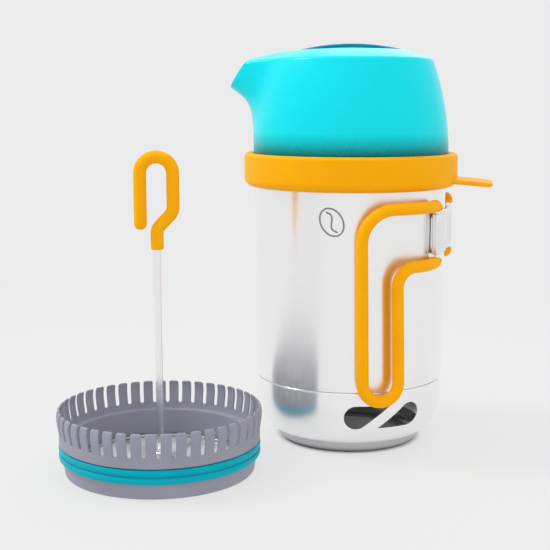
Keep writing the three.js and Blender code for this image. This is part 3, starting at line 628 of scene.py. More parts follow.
@dataclass(frozen=True)
class FrostedPlastic:
    """Clear coloured plastic with a frosted face; it can carry a painted shade that darkens it towards
    a low edge.
    """

    name: str
    tone: Colour
    roughness: float = 0.3
    clear: float = 0.6
    shine: float = 0.2
    # Painted shade: the colour darkens towards the low edge, standing in for the shaded inside of the
    # pot seen through the wall.
    painted_shade: Colour = (0.0, 0.12, 0.11)
    dark_from: float = -1.0
    painted_shade_rise: float = 16 * MM
    painted_shade_grain: float = 0.9 * MM
    frost: float = 0.5 * MM
    frost_depth: float = 0.008 * MM

    def material(self) -> bpy.types.Material:
        """Makes the plastic: light passes through it, blurred by a fine frost; a painted shade darkens
        it towards its low edge.
        """
        recipe = Recipe(self.name)
        place = recipe.place()
        frost = recipe.grains(place, self.frost, 4.0)
        cloud = recipe.grains(place, 30 * MM, 2.0)
        height = recipe.add("ShaderNodeSeparateXYZ", {"Vector": place}).outputs["Z"]
        grain = recipe.grains(place, self.painted_shade_grain, 4.0, 0.7)
        # Painted shade: the tone darkens from the low edge upwards, broken up by a fine grain.
        rise = recipe.add("ShaderNodeMapRange", {"Value": height, "From Min": self.dark_from,
                                                 "From Max": self.dark_from + self.painted_shade_rise})
        painted_shade_share = recipe.maths("ADD", rise.outputs[0], recipe.spread(grain, -0.12, 0.12))
        tone = recipe.colours(painted_shade_share, [(0.0, self.painted_shade), (0.5, shaded(self.tone, 0.62)),
                                       (1.0, self.tone)])
        gloss = recipe.maths("ADD", recipe.spread(frost, -0.02, 0.02),
                             recipe.spread(cloud, self.roughness - 0.01, self.roughness + 0.02))
        recipe.set(Base_Color=tone, Roughness=gloss, Transmission_Weight=self.clear, IOR=1.46,
                   Specular_IOR_Level=self.shine, Normal=recipe.bump(frost, self.frost_depth))
        return recipe.material


@dataclass(frozen=True)
class MouldedPlastic:
    """Opaque plastic with a fine spark-eroded texture."""

    name: str
    tone: Colour
    roughness: float = 0.5
    texture: float = 0.28 * MM
    texture_depth: float = 0.012 * MM

    def material(self) -> bpy.types.Material:
        """Makes the plastic: a fine even texture with slow changes of gloss."""
        recipe = Recipe(self.name)
        place = recipe.place()
        grain = recipe.grains(place, self.texture, 3.0)
        cloud = recipe.grains(place, 22 * MM, 4.0)
        tone = recipe.colours(cloud, [(0.3, shaded(self.tone, 0.93)), (0.7, shaded(self.tone, 1.04))])
        gloss = recipe.maths("ADD", recipe.spread(grain, -0.04, 0.04),
                             recipe.spread(cloud, self.roughness - 0.04, self.roughness + 0.04))
        recipe.set(Base_Color=tone, Roughness=gloss, Normal=recipe.bump(grain, self.texture_depth))
        return recipe.material


STEEL_WALL = Steel("steel_brushed_wall", (0.94, 0.94, 0.94), 0.25)
STEEL_HINGE = Steel("steel_rolled_hinge", (0.86, 0.86, 0.87), 0.16, Brush.NONE)
STEEL_FOOT = Steel("steel_satin_foot", (0.52, 0.52, 0.54), 0.3, line_pitch=0.4 * MM)
# Painted shade: the bean's raised lines get darker steel that stands in for the shade along the
# embossed relief; they are the pot's own steel.
STEEL_BEAN_SHADE = Steel("steel_bean_painted_shade", (0.30, 0.30, 0.31), 0.45, Brush.NONE)
STEEL_WIRE = Steel("steel_bright_wire", (0.93, 0.93, 0.94), 0.18, Brush.NONE)
ORANGE = Silicone("silicone_orange", (1.0, 0.45, 0.0), (1.0, 0.42, 0.0))
SEAL_RUBBER = Silicone("silicone_teal", (0.0, 0.42, 0.52), (0.0, 0.38, 0.48), 0.36, glow=0.0)
# The lid carries painted shade on its lowest band above 200 mm height, standing in for the shaded pot
# inside seen through it.
LID_PLASTIC = FrostedPlastic("plastic_frosted_aqua_painted_shade", (0.0, 0.90, 1.0), 0.24, 0.18, 0.12,
                             dark_from=200 * MM)
BAR_PLASTIC = FrostedPlastic("plastic_teal", (0.0, 0.30, 0.45), 0.25, 0.25)
FRAME_PLASTIC = MouldedPlastic("plastic_lavender_grey", (0.30, 0.30, 0.37))


# ---------------------------------------------------------------- places
@dataclass(frozen=True)
class Stand:
    """Where a sub-assembly stands: its upright axis."""

    axis: Vector

    @classmethod
    def of(cls, node: str) -> "Stand":
        """The stand whose axis is the middle of a round CAD node."""
        low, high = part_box(node)
        return cls((low + high) / 2)

    def radius(self, node: str) -> float:
        """Half the depth of a round CAD node."""
        low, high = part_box(node)
        return (high.y - low.y) / 2


def top_of(node: str) -> float:
    """The highest point of a CAD node."""
    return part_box(node)[1].z


def foot_of(node: str) -> float:
    """The lowest point of a CAD node."""
    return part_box(node)[0].z


def flat_ring(node: str, inner: float, outer: float, soft: float, sides: int) -> Shape:
    """A flat ring with rounded edges, as high as a CAD node."""
    low, high = foot_of(node), top_of(node)
    section = [(inner, low), (outer, low), (outer, high), (inner, high)]
    return turned(rounded(section, [soft] * 4), sides)


def settle(piece: bpy.types.Object, body: str, slot: str, *nodes: str) -> bpy.types.Object:
    """Puts a finished piece on its body.

    Args:
        piece: the finished piece.
        body: the CAD body that it moves with.
        slot: the record's material slot for the piece; not used.
        nodes: CAD nodes that it stands for.

    Returns:
        The piece.
    """
    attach(piece, body)
    if nodes:
        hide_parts(*nodes)
    log.info("%s rides on %s with %d faces", piece.name, body, len(piece.data.polygons))
    return piece


# ---------------------------------------------------------------- pot
@dataclass
class CookingPot:
    """The pot's wall and floor, the heat skirt, the foot ring and the embossed bean."""

    stand: Stand
    wall: float = 0.8 * MM
    gap: float = 0.3 * MM
    floor_corner: float = 6 * MM
    joggle_rise: float = 4 * MM
    bowl_drop: float = 10 * MM
    bowl_in: float = 20 * MM
    bowl_below_foot: float = 1.4 * MM
    foot_height: float = 7 * MM
    foot_wall: float = 1.2 * MM
    foot_ledge: float = 10.3 * MM
    foot_flat: float = 3.5 * MM
    foot_band: float = 4.4 * MM
    skirt_over_foot: float = 0.6 * MM
    skirt_rows: int = 26
    skirt_columns: int = 36
    skirt_crowding: float = 1.35
    vent_groups: int = 3
    vent_first: float = -63.0
    vent_round: float = 8.2 * MM
    vent_out: float = 19.5 * MM
    vent_point: Point = (-5.1 * MM, -8.4 * MM)
    vent_drop: float = 17.5 * MM
    vent_tip: float = 0.7 * MM
    bean_height: float = 159 * MM
    bean_turn: float = -95.0
    bean_size: Point = (7.2 * MM, 9.6 * MM)
    bean_tilt: float = 32.0
    bean_relief: float = 0.6 * MM
    bean_sunk: float = 0.1 * MM
    furrow_swing: float = 0.28
    furrow_reach: float = 0.8

    def __post_init__(self) -> None:
        """Takes the pot's sizes from its CAD nodes."""
        self.radius = self.stand.radius("pot_shell")
        self.rim = top_of("pot_shell")
        self.floor = foot_of("pot_shell")
        self.seam = top_of("heat_skirt") + self.gap
        self.foot_radius = self.stand.radius("foot_ring")
        self.foot_hole = self.foot_radius - self.foot_ledge
        self.bowl_start = self.seam - self.bowl_drop
        self.bowl_depth = self.bowl_start - self.foot_height + self.bowl_below_foot

    def build(self) -> None:
        """Builds the pot's pieces and puts them on the pot's body."""
        steel = STEEL_WALL.material()
        settle(self.wall_shape().piece("pot_wall", steel, self.stand.axis), "pot", "steel_pot",
               "pot_shell")
        settle(self.skirt_shape().piece("pot_heat_skirt", steel, self.stand.axis), "pot",
               "steel_pot", "heat_skirt")
        settle(self.foot_shape().piece("pot_foot_ring", STEEL_FOOT.material(), self.stand.axis),
               "pot", "steel_foot", "foot_ring")
        # The bean's darker steel is painted shade for its embossed relief.
        settle(self.bean_shape().piece("pot_embossed_bean", STEEL_BEAN_SHADE.material(),
                                       self.stand.axis), "pot", "steel_pot")

    def wall_shape(self) -> Shape:
        """The wall with its rolled rim, and the floor that drops into the skirt."""
        inner = self.radius - self.wall
        joggle = self.radius - self.wall - self.gap
        corner = self.floor_corner
        bend = 0.35 * MM
        corners = [
            (0.0, self.floor), (joggle, self.floor), (joggle, self.seam), (self.radius, self.seam),
            (self.radius, self.rim), (inner, self.rim), (inner, self.seam + self.joggle_rise),
            (joggle - self.wall, self.seam + self.wall), (joggle - self.wall, self.floor + self.wall),
            (0.0, self.floor + self.wall),
        ]
        half = self.wall / 2 - 0.01 * MM
        radii = [0, corner, bend, bend, half, half, 3 * MM, 3 * MM, corner - self.wall, 0]
        return turned(close_points(rounded(corners, radii, closed=False), 6 * MM), 256)

    def skirt_at(self, height: float) -> tuple[Point, Point]:
        """The skirt's (radius, height) and its outward direction at a height."""
        if height >= self.bowl_start:
            return (self.radius, height), (1.0, 0.0)
        sine = min(0.98, (self.bowl_start - height) / self.bowl_depth)
        cosine = math.sqrt(1 - sine * sine)
        radius = self.radius - self.bowl_in + self.bowl_in * cosine
        out = Vector((cosine / self.bowl_in, -sine / self.bowl_depth)).normalized()
        return (radius, height), (out.x, out.y)

    def skirt_place(self, along: float, height: float, depth: float) -> Vector:
        """A place in the skirt's sheet, from the arc length round the pot, height and depth."""
        (radius, level), out = self.skirt_at(height)
        radius -= out[0] * depth
        level -= out[1] * depth
        turn = along / self.radius
        return Vector((radius * math.cos(turn), radius * math.sin(turn), level))

    def teardrop(self, side: int) -> list[Point]:
        """A vent's outline in the flat sheet; side -1 turns it half a turn."""
        edge = self.wall / 2
        away = complex(self.vent_out - self.vent_point[0], -self.vent_point[1])
        radius = self.vent_round + edge
        half = math.degrees(math.asin(radius / abs(away)))
        heading = math.degrees(cmath.phase(away))
        round_end = ellipse((self.vent_out, 0), (radius, radius), heading - 90 - half,
                            heading + 90 + half, 26)
        tip = rounded([round_end[-1], self.vent_point, round_end[0]], [0, self.vent_tip, 0],
                      closed=False)[1:-1]
        middle = self.seam - self.vent_drop
        return [(side * x, middle + side * y) for x, y in (*tip, *round_end)]

    def skirt_shape(self) -> Shape:
        """The heat skirt with its groups of two teardrop vents."""
        half = math.pi / self.vent_groups * self.radius
        edge = self.wall / 2
        top = self.seam - self.gap - edge
        low = self.foot_height + self.skirt_over_foot + edge
        rows = [low + (top - low) * (k / self.skirt_rows) ** self.skirt_crowding
                for k in range(1, self.skirt_rows)]
        cuts = [half * (2 * k / self.skirt_columns - 1) for k in range(1, self.skirt_columns)]
        outline = [(-half, low), (half, low), (half, top), (-half, top)]
        flat = FlatSheet(outline, [self.teardrop(1), self.teardrop(-1)], cuts, rows)
        part = flat.bent(self.skirt_place, self.wall, lambda spot: abs(spot[0]) > half - 1e-6,
                         lambda spot: abs(spot[0]) > half - 1e-6)
        sheet = Shape()
        for group in range(self.vent_groups):
            sheet.join(part.turned(self.vent_first + 360 * group / self.vent_groups))
        return sheet

    def foot_shape(self) -> Shape:
        """The pressed ring that the pot stands on, with a fine step above its curve."""
        flat_edge = self.foot_hole + self.foot_flat
        bulge = (self.foot_radius - flat_edge, self.foot_height)
        outer = [(self.foot_radius, self.foot_height + self.foot_band),
                 *ellipse((flat_edge, self.foot_height), bulge, 0, -90, 16),
                 (self.foot_hole, 0.0)]
        inner = [(self.foot_hole, self.foot_wall), (flat_edge, self.foot_wall),
                 *ellipse((flat_edge, self.foot_height),
                          (bulge[0] - self.foot_wall, bulge[1] - self.foot_wall), -90, 0, 16)[1:],
                 (self.foot_radius - self.foot_wall, self.foot_height + self.foot_band)]
        return turned([*outer, *inner], 256)

    def bean_shape(self) -> Shape:
        """A coffee bean in low relief: its outline and the wavy furrow down its middle."""
        tilt = math.radians(self.bean_tilt)

        def on_wall(x: float, y: float) -> Vector:
            """Turns a flat place by the bean's tilt and lays it on the wall."""
            along = x * math.cos(tilt) - y * math.sin(tilt)
            up = x * math.sin(tilt) + y * math.cos(tilt)
            turn = math.radians(self.bean_turn) + along / self.radius
            out = self.radius - self.bean_sunk
            return Vector((out * math.cos(turn), out * math.sin(turn), self.bean_height + up))

        wide, tall = self.bean_size
        ring = ellipse((0, 0), (wide, tall), 0, 360, 72)
        wave = [(wide * self.furrow_swing * math.sin(math.pi * t), tall * self.furrow_reach * t)
                for t in (k / 20 - 1 for k in range(41))]
        outline = Spine(on_wall(x, y) for x, y in ring)
        furrow = Spine(on_wall(x, y) for x, y in wave)
        relief = self.bean_relief
        bean = swept(outline, [(reach, relief) for reach in outline.reach], 12)
        return bean.join(swept(furrow, bar_outline(furrow, relief, 0, furrow.length, relief), 12))


# ---------------------------------------------------------------- hinge and handles
@dataclass
class Hinge:
    """The bracket on the pot's wall, with a rolled barrel at each side for a handle's pin."""

    stand: Stand
    plate: float = 1.2 * MM
    gap: float = 0.3 * MM
    barrel_height: float = 27 * MM
    barrel_wall: float = 0.9 * MM
    pin_clearance: float = 0.35 * MM
    wire_radius: float = 2 * MM
    turn: float = -6.0
    pin_angle: float = 23.2
    bite: float = 0.4 * MM
    corner: float = 5 * MM
    weld_radius: float = 1.7 * MM
    weld_rise: float = 0.35 * MM
    weld_turns: tuple[float, ...] = (-9.0, 0.0, 9.0)
    weld_up: float = 8 * MM

    def __post_init__(self) -> None:
        """Takes the bracket's place from the pot and from its CAD node."""
        self.low = foot_of("hinge_bracket")
        self.high = top_of("hinge_bracket")
        self.middle = (self.low + self.high) / 2
        self.plate_radius = self.stand.radius("pot_shell") + self.gap + self.plate
        self.bore = self.wire_radius + self.pin_clearance
        self.barrel_radius = self.bore + self.barrel_wall
        self.pin_radius = self.plate_radius + self.barrel_radius - self.bite

    def build(self) -> None:
        """Builds the bracket and its spot welds."""
        steel = STEEL_HINGE.material()
        shape = self.plate_shape().join(self.barrel(1), self.barrel(-1))
        settle(shape.piece("pot_hinge_bracket", steel, self.stand.axis), "pot", "steel_pot",
               "hinge_bracket")
        settle(self.welds().piece("pot_bracket_welds", steel, self.stand.axis), "pot", "steel_pot")

    def plate_shape(self) -> Shape:
        """The bent plate with round corners and edges."""
        edge = self.plate / 2
        half = self.plate_radius * math.radians(self.pin_angle) + self.barrel_radius / 2
        tall = (self.high - self.low) / 2 - edge
        square = [(-half, -tall), (half, -tall), (half, tall), (-half, tall)]
        outline = rounded(square, [self.corner] * 4, steps=8)

        def place(along: float, up: float, depth: float) -> Vector:
            """Wraps the plate round the pot."""
            turn = math.radians(self.turn) + along / self.plate_radius
            out = self.plate_radius - depth
            return Vector((out * math.cos(turn), out * math.sin(turn), self.middle + up))

        cuts = [half * (k / 12 - 1) for k in range(1, 24)]
        ups = [tall * (k / 4 - 1) for k in range(1, 8)]
        sheet = FlatSheet(outline, [], cuts, ups)
        return sheet.bent(place, self.plate, never, never)

    def barrel(self, side: int) -> Shape:
        """A rolled barrel with rounded ends, at one side of the plate."""
        half = self.barrel_height / 2
        edge = self.barrel_wall * 0.35
        ring = rounded([(self.bore, -half), (self.barrel_radius, -half),
                        (self.barrel_radius, half), (self.bore, half)], [edge] * 4)
        turn = math.radians(self.turn + side * self.pin_angle)
        place = Vector((self.pin_radius * math.cos(turn), self.pin_radius * math.sin(turn),
                        self.middle))
        return turned(ring, 48).moved(Matrix.Translation(place))

    def welds(self) -> Shape:
        """Two rows of spot welds on the plate."""
        dome = turned([(0.0, self.weld_rise), *ellipse((0, 0), (self.weld_radius, self.weld_rise),
                                                       80, -20, 8), (0.0, -self.weld_rise)], 28)
        studs = Shape()
        for across in self.weld_turns:
            for up in (-self.weld_up, self.weld_up):
                lay = (Matrix.Rotation(math.radians(self.turn + across), 4, "Z")
                       @ Matrix.Translation((self.plate_radius, 0, self.middle + up))
                       @ Matrix.Rotation(math.pi / 2, 4, "Y"))
                studs.join(dome.moved(lay))
        return studs


class Side(Enum):
    """The two handles; the value is the way that each one lies round the pot."""

    FRONT = -1
    REAR = 1


@dataclass
class Handle:
    """One swing-out handle: a bent wire loop in a silicone sleeve."""

    hinge: Hinge
    side: Side
    standoff: float = 9 * MM
    span: float = 38 * MM
    reach: float = 65.3 * MM
    leg_gap: float = 24.5 * MM
    drop: float = 126 * MM
    big_bend: float = 22 * MM
    small_bend: float = 13 * MM
    pin_bend: float = 4.5 * MM
    lean: float = 2.2 * MM
    pin_gap: float = 0.3 * MM
    bare_wire: float = 1 * MM
    sleeve_radius: float = 4 * MM
    sleeve_bore: float = 2.3 * MM
    sleeve_edge: float = 1.1 * MM
    sleeve_socket: float = 3 * MM
    wire_end: float = 0.5 * MM
    longest_step: float = 1.6 * MM

    def route(self) -> list[Point]:
        """The loop laid flat: along the wall from the pin, and up from the hinge's middle."""
        top = self.span / 2
        bottom = top - self.drop
        near = self.reach - self.leg_gap
        bend = self.leg_gap / 2 - 0.05 * MM
        corners = [(0.0, self.pin_gap), (0.0, top), (self.reach, top),
                   (self.reach - self.lean, bottom), (near - self.lean, bottom), (near, -top),
                   (0.0, -top), (0.0, -self.pin_gap)]
        radii = [0, self.pin_bend, self.big_bend, bend, bend, self.small_bend, self.pin_bend, 0]
        return close_points(rounded(corners, radii, closed=False, steps=16), self.longest_step)

    def lay(self, spot: Point) -> Vector:
        """Wraps a place of the flat loop round the pot."""
        loop_radius = self.hinge.stand.radius("pot_shell") + self.standoff
        away = smooth_step(spot[0], 0, self.big_bend)
        radius = self.hinge.pin_radius + (loop_radius - self.hinge.pin_radius) * away
        turn = math.radians(self.hinge.turn) + self.side.value * (
            math.radians(self.hinge.pin_angle) + spot[0] / loop_radius)
        return Vector((radius * math.cos(turn), radius * math.sin(turn),
                       self.hinge.middle + spot[1]))

    def build(self) -> None:
        """Builds the wire and its sleeve on the handle's own body."""
        label = self.side.name.lower()
        body = f"handle_{label}"
        flat = self.route()
        wire = Spine(self.lay(spot) for spot in flat)
        outline = bar_outline(wire, self.hinge.wire_radius, 0, wire.length, self.wire_end)
        axis = self.hinge.stand.axis
        settle(swept(wire, outline, 24).piece(f"{body}_wire", STEEL_WIRE.material(), axis), body,
               "steel_wire", f"handle_wire_{label}")
        bare = self.hinge.high - self.hinge.middle + self.bare_wire
        covered = [reach for reach, (along, up) in zip(wire.reach, flat)
                   if along > self.pin_bend or abs(up) > bare]
        sleeve = bar_outline(wire, self.sleeve_radius, covered[0], covered[-1], self.sleeve_edge,
                             self.sleeve_bore, self.sleeve_socket)
        settle(swept(wire, sleeve, 36).piece(f"{body}_sleeve", ORANGE.material(), axis), body,
               "silicone_orange", f"handle_grip_{label}")


# ---------------------------------------------------------------- rim ring
@dataclass
class RimRing:
    """The silicone ring round the pot's rim that holds the lid, with its pull tab."""

    stand: Stand
    gap: float = 0.3 * MM
    lid_radius: float = 67.4 * MM
    flange_out: float = 2.1 * MM
    flange: float = 2.5 * MM
    top_round: float = 2.5 * MM
    taper: float = 6 * MM
    soft_edge: float = 0.5 * MM
    mouth_round: float = 0.8 * MM
    inner_step: float = 0.8 * MM
    tab_width: float = 38 * MM
    tab_corner: float = 6 * MM
    tab_flare: float = 3 * MM
    tab_thickness: float = 3.2 * MM
    tab_droop: float = 5.0
    tab_root: float = 2.6 * MM
    tab_short: float = 0.2 * MM
    tab_bend: float = 8 * MM

    def __post_init__(self) -> None:
        """Takes the ring's sizes from its CAD node."""
        low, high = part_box("rim_ring")
        self.low, self.high = low.z, high.z
        self.rim = top_of("pot_shell")
        self.bore = self.stand.radius("pot_shell") + self.gap
        self.radius = self.stand.radius("rim_ring")
        self.tab_reach = high.x - self.stand.axis.x

    def build(self) -> None:
        """Builds the ring with its tab as one piece."""
        shape = self.ring_shape().join(self.tab_shape())
        settle(shape.piece("rim_ring_silicone", ORANGE.material(), self.stand.axis), "ring",
               "silicone_orange", "rim_ring")

    def ring_shape(self) -> Shape:
        """The ring, with the groove that holds the lid's flange."""
        mouth = self.lid_radius + self.gap
        groove = self.lid_radius + self.flange_out + self.gap
        groove_top = self.rim + self.gap + self.flange + self.gap
        skirt = ellipse((self.bore + self.inner_step, self.low + self.taper),
                        (self.radius - self.bore - self.inner_step, self.taper), -78, 0, 12)
        crown = ellipse((self.radius - self.top_round, self.high - self.top_round),
                        (self.top_round, self.top_round), 0, 90, 10)
        inside = rounded([crown[-1], (mouth, self.high), (mouth, groove_top),
                          (groove, groove_top), (groove, self.rim), (self.bore, self.rim),
                          (self.bore, self.low), (self.bore + self.inner_step, self.low)],
                         [0, self.mouth_round, *[self.soft_edge] * 5, 0], closed=False)[1:]
        return turned([*skirt, *crown, *inside], 256)

    def tab_shape(self) -> Shape:
        """The pull tab, with round edges and a soft root."""
        root = self.radius - self.tab_root
        edge = self.tab_thickness / 2
        tip = self.tab_reach - root - edge - self.tab_short
        half = self.tab_width / 2 - edge
        flare = half + self.tab_flare
        corners = [(0.0, -flare), (2 * self.tab_flare, -half), (tip, -half), (tip, half),
                   (2 * self.tab_flare, half), (0.0, flare)]
        radii = [0, self.tab_bend, self.tab_corner, self.tab_corner, self.tab_bend, 0]
        outline = rounded(corners, radii, steps=10)
        droop = Matrix.Rotation(math.radians(self.tab_droop), 4, "Y")
        lift = Matrix.Translation((root, 0, self.low + self.taper / 2 + self.tab_thickness))

        def place(out: float, across: float, depth: float) -> Vector:
            """Lays the tab on its slope."""
            return lift @ (droop @ Vector((out, across, -depth)))

        cuts = [2.5 * MM * k for k in range(1, 9)]
        ups = [4 * MM * k for k in range(-5, 6)]
        sheet = FlatSheet(outline, [], cuts, ups)
        return sheet.bent(place, self.tab_thickness, never, never)


# ---------------------------------------------------------------- lid
@dataclass
class Lid:
    """The translucent lid with its spout, the finger recess in its top and the grip bar."""

    stand: Stand
    radius: float = 67.4 * MM
    wall: float = 2 * MM
    gap: float = 0.3 * MM
    flange_out: float = 2.1 * MM
    flange: float = 2.5 * MM
    plug_depth: float = 10 * MM
    plug_clearance: float = 1.3 * MM
    base_rise: float = 4 * MM
    edge_radius: float = 55.6 * MM
    wall_height: float = 68.5 * MM
    spout_spread: float = 17.0
    lip_reach: float = 83.8 * MM
    lip_height: float = 49 * MM
    mouth_top: float = 69.4 * MM
    lip_edge: float = 0.7 * MM
    throat_curve: tuple[Triple, ...] = (
        (0.19, 0.01, 33 * MM), (0.35, 0.06, 23 * MM), (0.48, 0.18, 14 * MM), (0.58, 0.44, 7 * MM))
    recess_radius: float = 36 * MM
    recess_floor: float = 22 * MM
    recess_depth: float = 14 * MM
    bar_width: float = 20 * MM
    bar_thickness: float = 2.2 * MM
    ridge_rises: tuple[float, ...] = (-2 * MM, 0.8 * MM, 3.6 * MM, 5.6 * MM)
    columns: int = 240
    wall_rows: int = 44
    roof_rows: int = 22

    def __post_init__(self) -> None:
        """Takes the lid's heights from its CAD nodes and works out its dome."""
        self.rim = top_of("pot_shell")
        self.top = top_of("lid_grip_bar")
        self.edge = self.rim + self.wall_height
        rise = self.top - self.edge
        self.dome = (self.edge_radius**2 + rise**2) / (2 * rise)

    def build(self) -> None:
        """Builds the lid's shell and its grip bar."""
        shell = self.shell_piece()
        settle(shell, "lid", "lid_aqua", "lid_shell")
        bar = self.bar_shape().piece("lid_bar", BAR_PLASTIC.material(), self.stand.axis)
        settle(bar, "lid", "bar_teal", "lid_grip_bar")

    def dome_height(self, radius: float) -> float:
        """The height of the domed top at a radius."""
        return self.top - self.dome + math.sqrt(self.dome**2 - radius**2)

    def wall_at(self, share: float) -> Point:
        """The plain wall at a share of its height."""
        base = self.rim + self.base_rise
        bend = (self.radius - self.edge_radius) * share * share
        return self.radius - bend, base + (self.edge - base) * share

    def spout_at(self, share: float) -> Point:
        """The wall at the middle of the spout, at the same share.

        Each part of throat_curve is a share of the wall's height, the share of the throat's
        reach that the wall leans out there, and its depth below the lip. The last two points
        lie past the mouth's cut.
        """
        lip = self.rim + self.lip_height
        throat = self.lip_reach - self.radius
        points = [
            (self.radius, self.rim + self.base_rise),
            *((self.radius + throat * out, lip - drop) for _, out, drop in self.throat_curve),
            (self.lip_reach, lip),
            (self.lip_reach + 8 * MM, lip + 5.5 * MM),
            (self.lip_reach + 13 * MM, self.edge - 5 * MM),
        ]
        return through(points, [0, *(at for at, _, _ in self.throat_curve), 0.7, 0.84, 1], share)

    def roof_at(self, share: float) -> tuple[Point, Point]:
        """The plain dome and the spout's roof, from the edge inwards to the recess."""
        inner = self.recess_radius
        radius = self.edge_radius + (inner - self.edge_radius) * share
        reaches = (self.lip_reach, self.mouth_top, self.edge_radius + 2 * MM,
                   self.edge_radius * 0.8)
        crest = [(reach, self.edge + rise) for reach, rise in zip(reaches, self.ridge_rises)]
        ridge = through([*crest, (inner, self.dome_height(inner))], [0, 0.2, 0.45, 0.8, 1], share)
        return (radius, self.dome_height(radius)), ridge

    def weight(self, degrees: float) -> float:
        """How much of the spout there is at an angle round the lid."""
        away = (degrees - 180) / self.spout_spread
        return math.exp(-away * away)

    def outline_at(self, degrees: float) -> list[Point]:
        """The lid's outside at one angle, from its base to the middle of the recess."""
        weight = self.weight(degrees)

        def blended(plain: Point, spout: Point) -> Point:
            """Mixes the plain outline with the spout's."""
            return tuple(a + (b - a) * weight for a, b in zip(plain, spout))

        wall = [blended(self.wall_at(share), self.spout_at(share))
                for share in (k / self.wall_rows for k in range(self.wall_rows))]
        roof = [blended(*self.roof_at(k / self.roof_rows)) for k in range(1, self.roof_rows + 1)]
        corner = blended(self.wall_at(1.0), self.spout_at(1.0))
        soft = [tuple((1 - t)**2 * a + 2 * t * (1 - t) * b + t * t * c
                      for a, b, c in zip(wall[-1], corner, roof[0])) for t in (0.25, 0.5, 0.75)]
        floor = self.top - self.recess_depth
        rim_height = self.dome_height(self.recess_radius)
        dish = rounded([roof[-2], (self.recess_radius, rim_height), (self.recess_floor, floor),
                        (0.0, floor)], [0, 1.2 * MM, 4 * MM, 0], closed=False, steps=6)[1:]
        return [*wall, *soft, *roof[:-1], *dish]

    def shell_piece(self) -> bpy.types.Object:
        """The lid's shell: bent outside, cut at the mouth, then given its wall."""
        shape = Shape()
        columns = [self.outline_at(360 * k / self.columns) for k in range(self.columns)]
        turns = [math.tau * k / self.columns for k in range(self.columns)]
        shape.skin([shape.row(Vector((spot[0] * math.cos(turn), spot[0] * math.sin(turn), spot[1]))
                              for turn, spot in zip(turns, level)) for level in zip(*columns)])
        mesh = bpy.data.meshes.new("lid_outside")
        mesh.from_pydata([tuple(corner) for corner in shape.corners], [], shape.faces)
        work = bmesh.new()
        work.from_mesh(mesh)
        bmesh.ops.remove_doubles(work, verts=work.verts, dist=0.005 * MM)
        lip = Vector((-self.lip_reach, 0, self.rim + self.lip_height))
        upper = Vector((-self.mouth_top, 0, self.edge))
        slope = upper - lip
        facing = Vector((-slope.z, 0, slope.x)).normalized()
        everything = work.verts[:] + work.edges[:] + work.faces[:]
        bmesh.ops.bisect_plane(work, geom=everything, plane_co=lip, plane_no=facing,
                               clear_outer=True, dist=1e-7)
        bmesh.ops.recalc_face_normals(work, faces=work.faces)
        self.thicken(work)
        self.soften_lip(work, lip, facing)
        shell = Shape([v.co.copy() for v in work.verts],
                      [tuple(v.index for v in face.verts) for face in work.faces])
        work.free()
        bpy.data.meshes.remove(mesh)
        shell.join(self.plug_shape())
        return shell.piece("lid_shell_frosted", LID_PLASTIC.material(), self.stand.axis)

    def thicken(self, work: bmesh.types.BMesh) -> None:
        """Gives an open sheet its wall on the inside and closes its edges."""
        work.normal_update()
        work.verts.index_update()
        outer = work.verts[:]
        faces = [tuple(v.index for v in face.verts) for face in work.faces]
        open_edges = [tuple(v.index for v in edge.verts) for edge in work.edges
                      if len(edge.link_faces) == 1]
        centre = Vector((0, 0, self.rim + self.wall_height / 2))
        outward = sum(1 if v.normal.dot(v.co - centre) > 0 else -1 for v in outer)
        sign = 1 if outward > 0 else -1
        inner = [work.verts.new(v.co - v.normal * sign * self.wall) for v in outer]
        for face in faces:
            work.faces.new([inner[i] for i in reversed(face)])
        for a, b in open_edges:
            work.faces.new([outer[a], outer[b], inner[b], inner[a]])
        work.verts.index_update()
        bmesh.ops.recalc_face_normals(work, faces=work.faces)

    def soften_lip(self, work: bmesh.types.BMesh, lip: Vector, facing: Vector) -> None:
        """Rounds the outer edge of the mouth."""
        near = [edge for edge in work.edges
                if all(abs((v.co - lip).dot(facing)) < 1e-6 for v in edge.verts)
                and edge.calc_face_angle(0) > 0.6]
        bmesh.ops.bevel(work, geom=near, offset=self.lip_edge, segments=3, profile=0.5,
                        affect="EDGES", clamp_overlap=True)
        work.verts.index_update()

    def plug_shape(self) -> Shape:
        """The flange in the ring's groove and the short plug inside the pot's rim."""
        plug = self.stand.radius("pot_shell") - self.plug_clearance
        bore = plug - self.wall
        low = self.rim - self.plug_depth
        flange = self.rim + self.gap
        out = self.radius + self.flange_out
        soft = 0.5 * MM
        return turned(rounded([(bore, low), (plug, low), (plug, flange), (out, flange),
                               (out, flange + self.flange), (bore, flange + self.flange)],
                              [soft] * 6, steps=4), 192)

    def bar_shape(self) -> Shape:
        """The grip bar that bridges the recess, level with the dome."""
        half = self.bar_width / 2
        reach = self.recess_radius - self.gap
        edge = self.bar_thickness / 2
        side = half - edge
        near_end = math.sqrt((reach - edge) ** 2 - side**2)
        end = math.degrees(math.asin(side / (reach - edge)))
        right = ellipse((0, 0), (reach - edge, reach - edge), -end, end, 8)
        left = ellipse((0, 0), (reach - edge, reach - edge), 180 - end, 180 + end, 8)

        def place(x: float, y: float, depth: float) -> Vector:
            """Lays the bar on the dome."""
            radius = math.hypot(x, y)
            return Vector((x, y, self.dome_height(radius) - depth))

        cuts = [near_end * (k / 12 - 1) for k in range(25)]
        ups = [side * (k / 4 - 1) for k in range(1, 8)]
        sheet = FlatSheet([*right, *left], [], cuts, ups)
        return sheet.bent(place, self.bar_thickness, never, never)


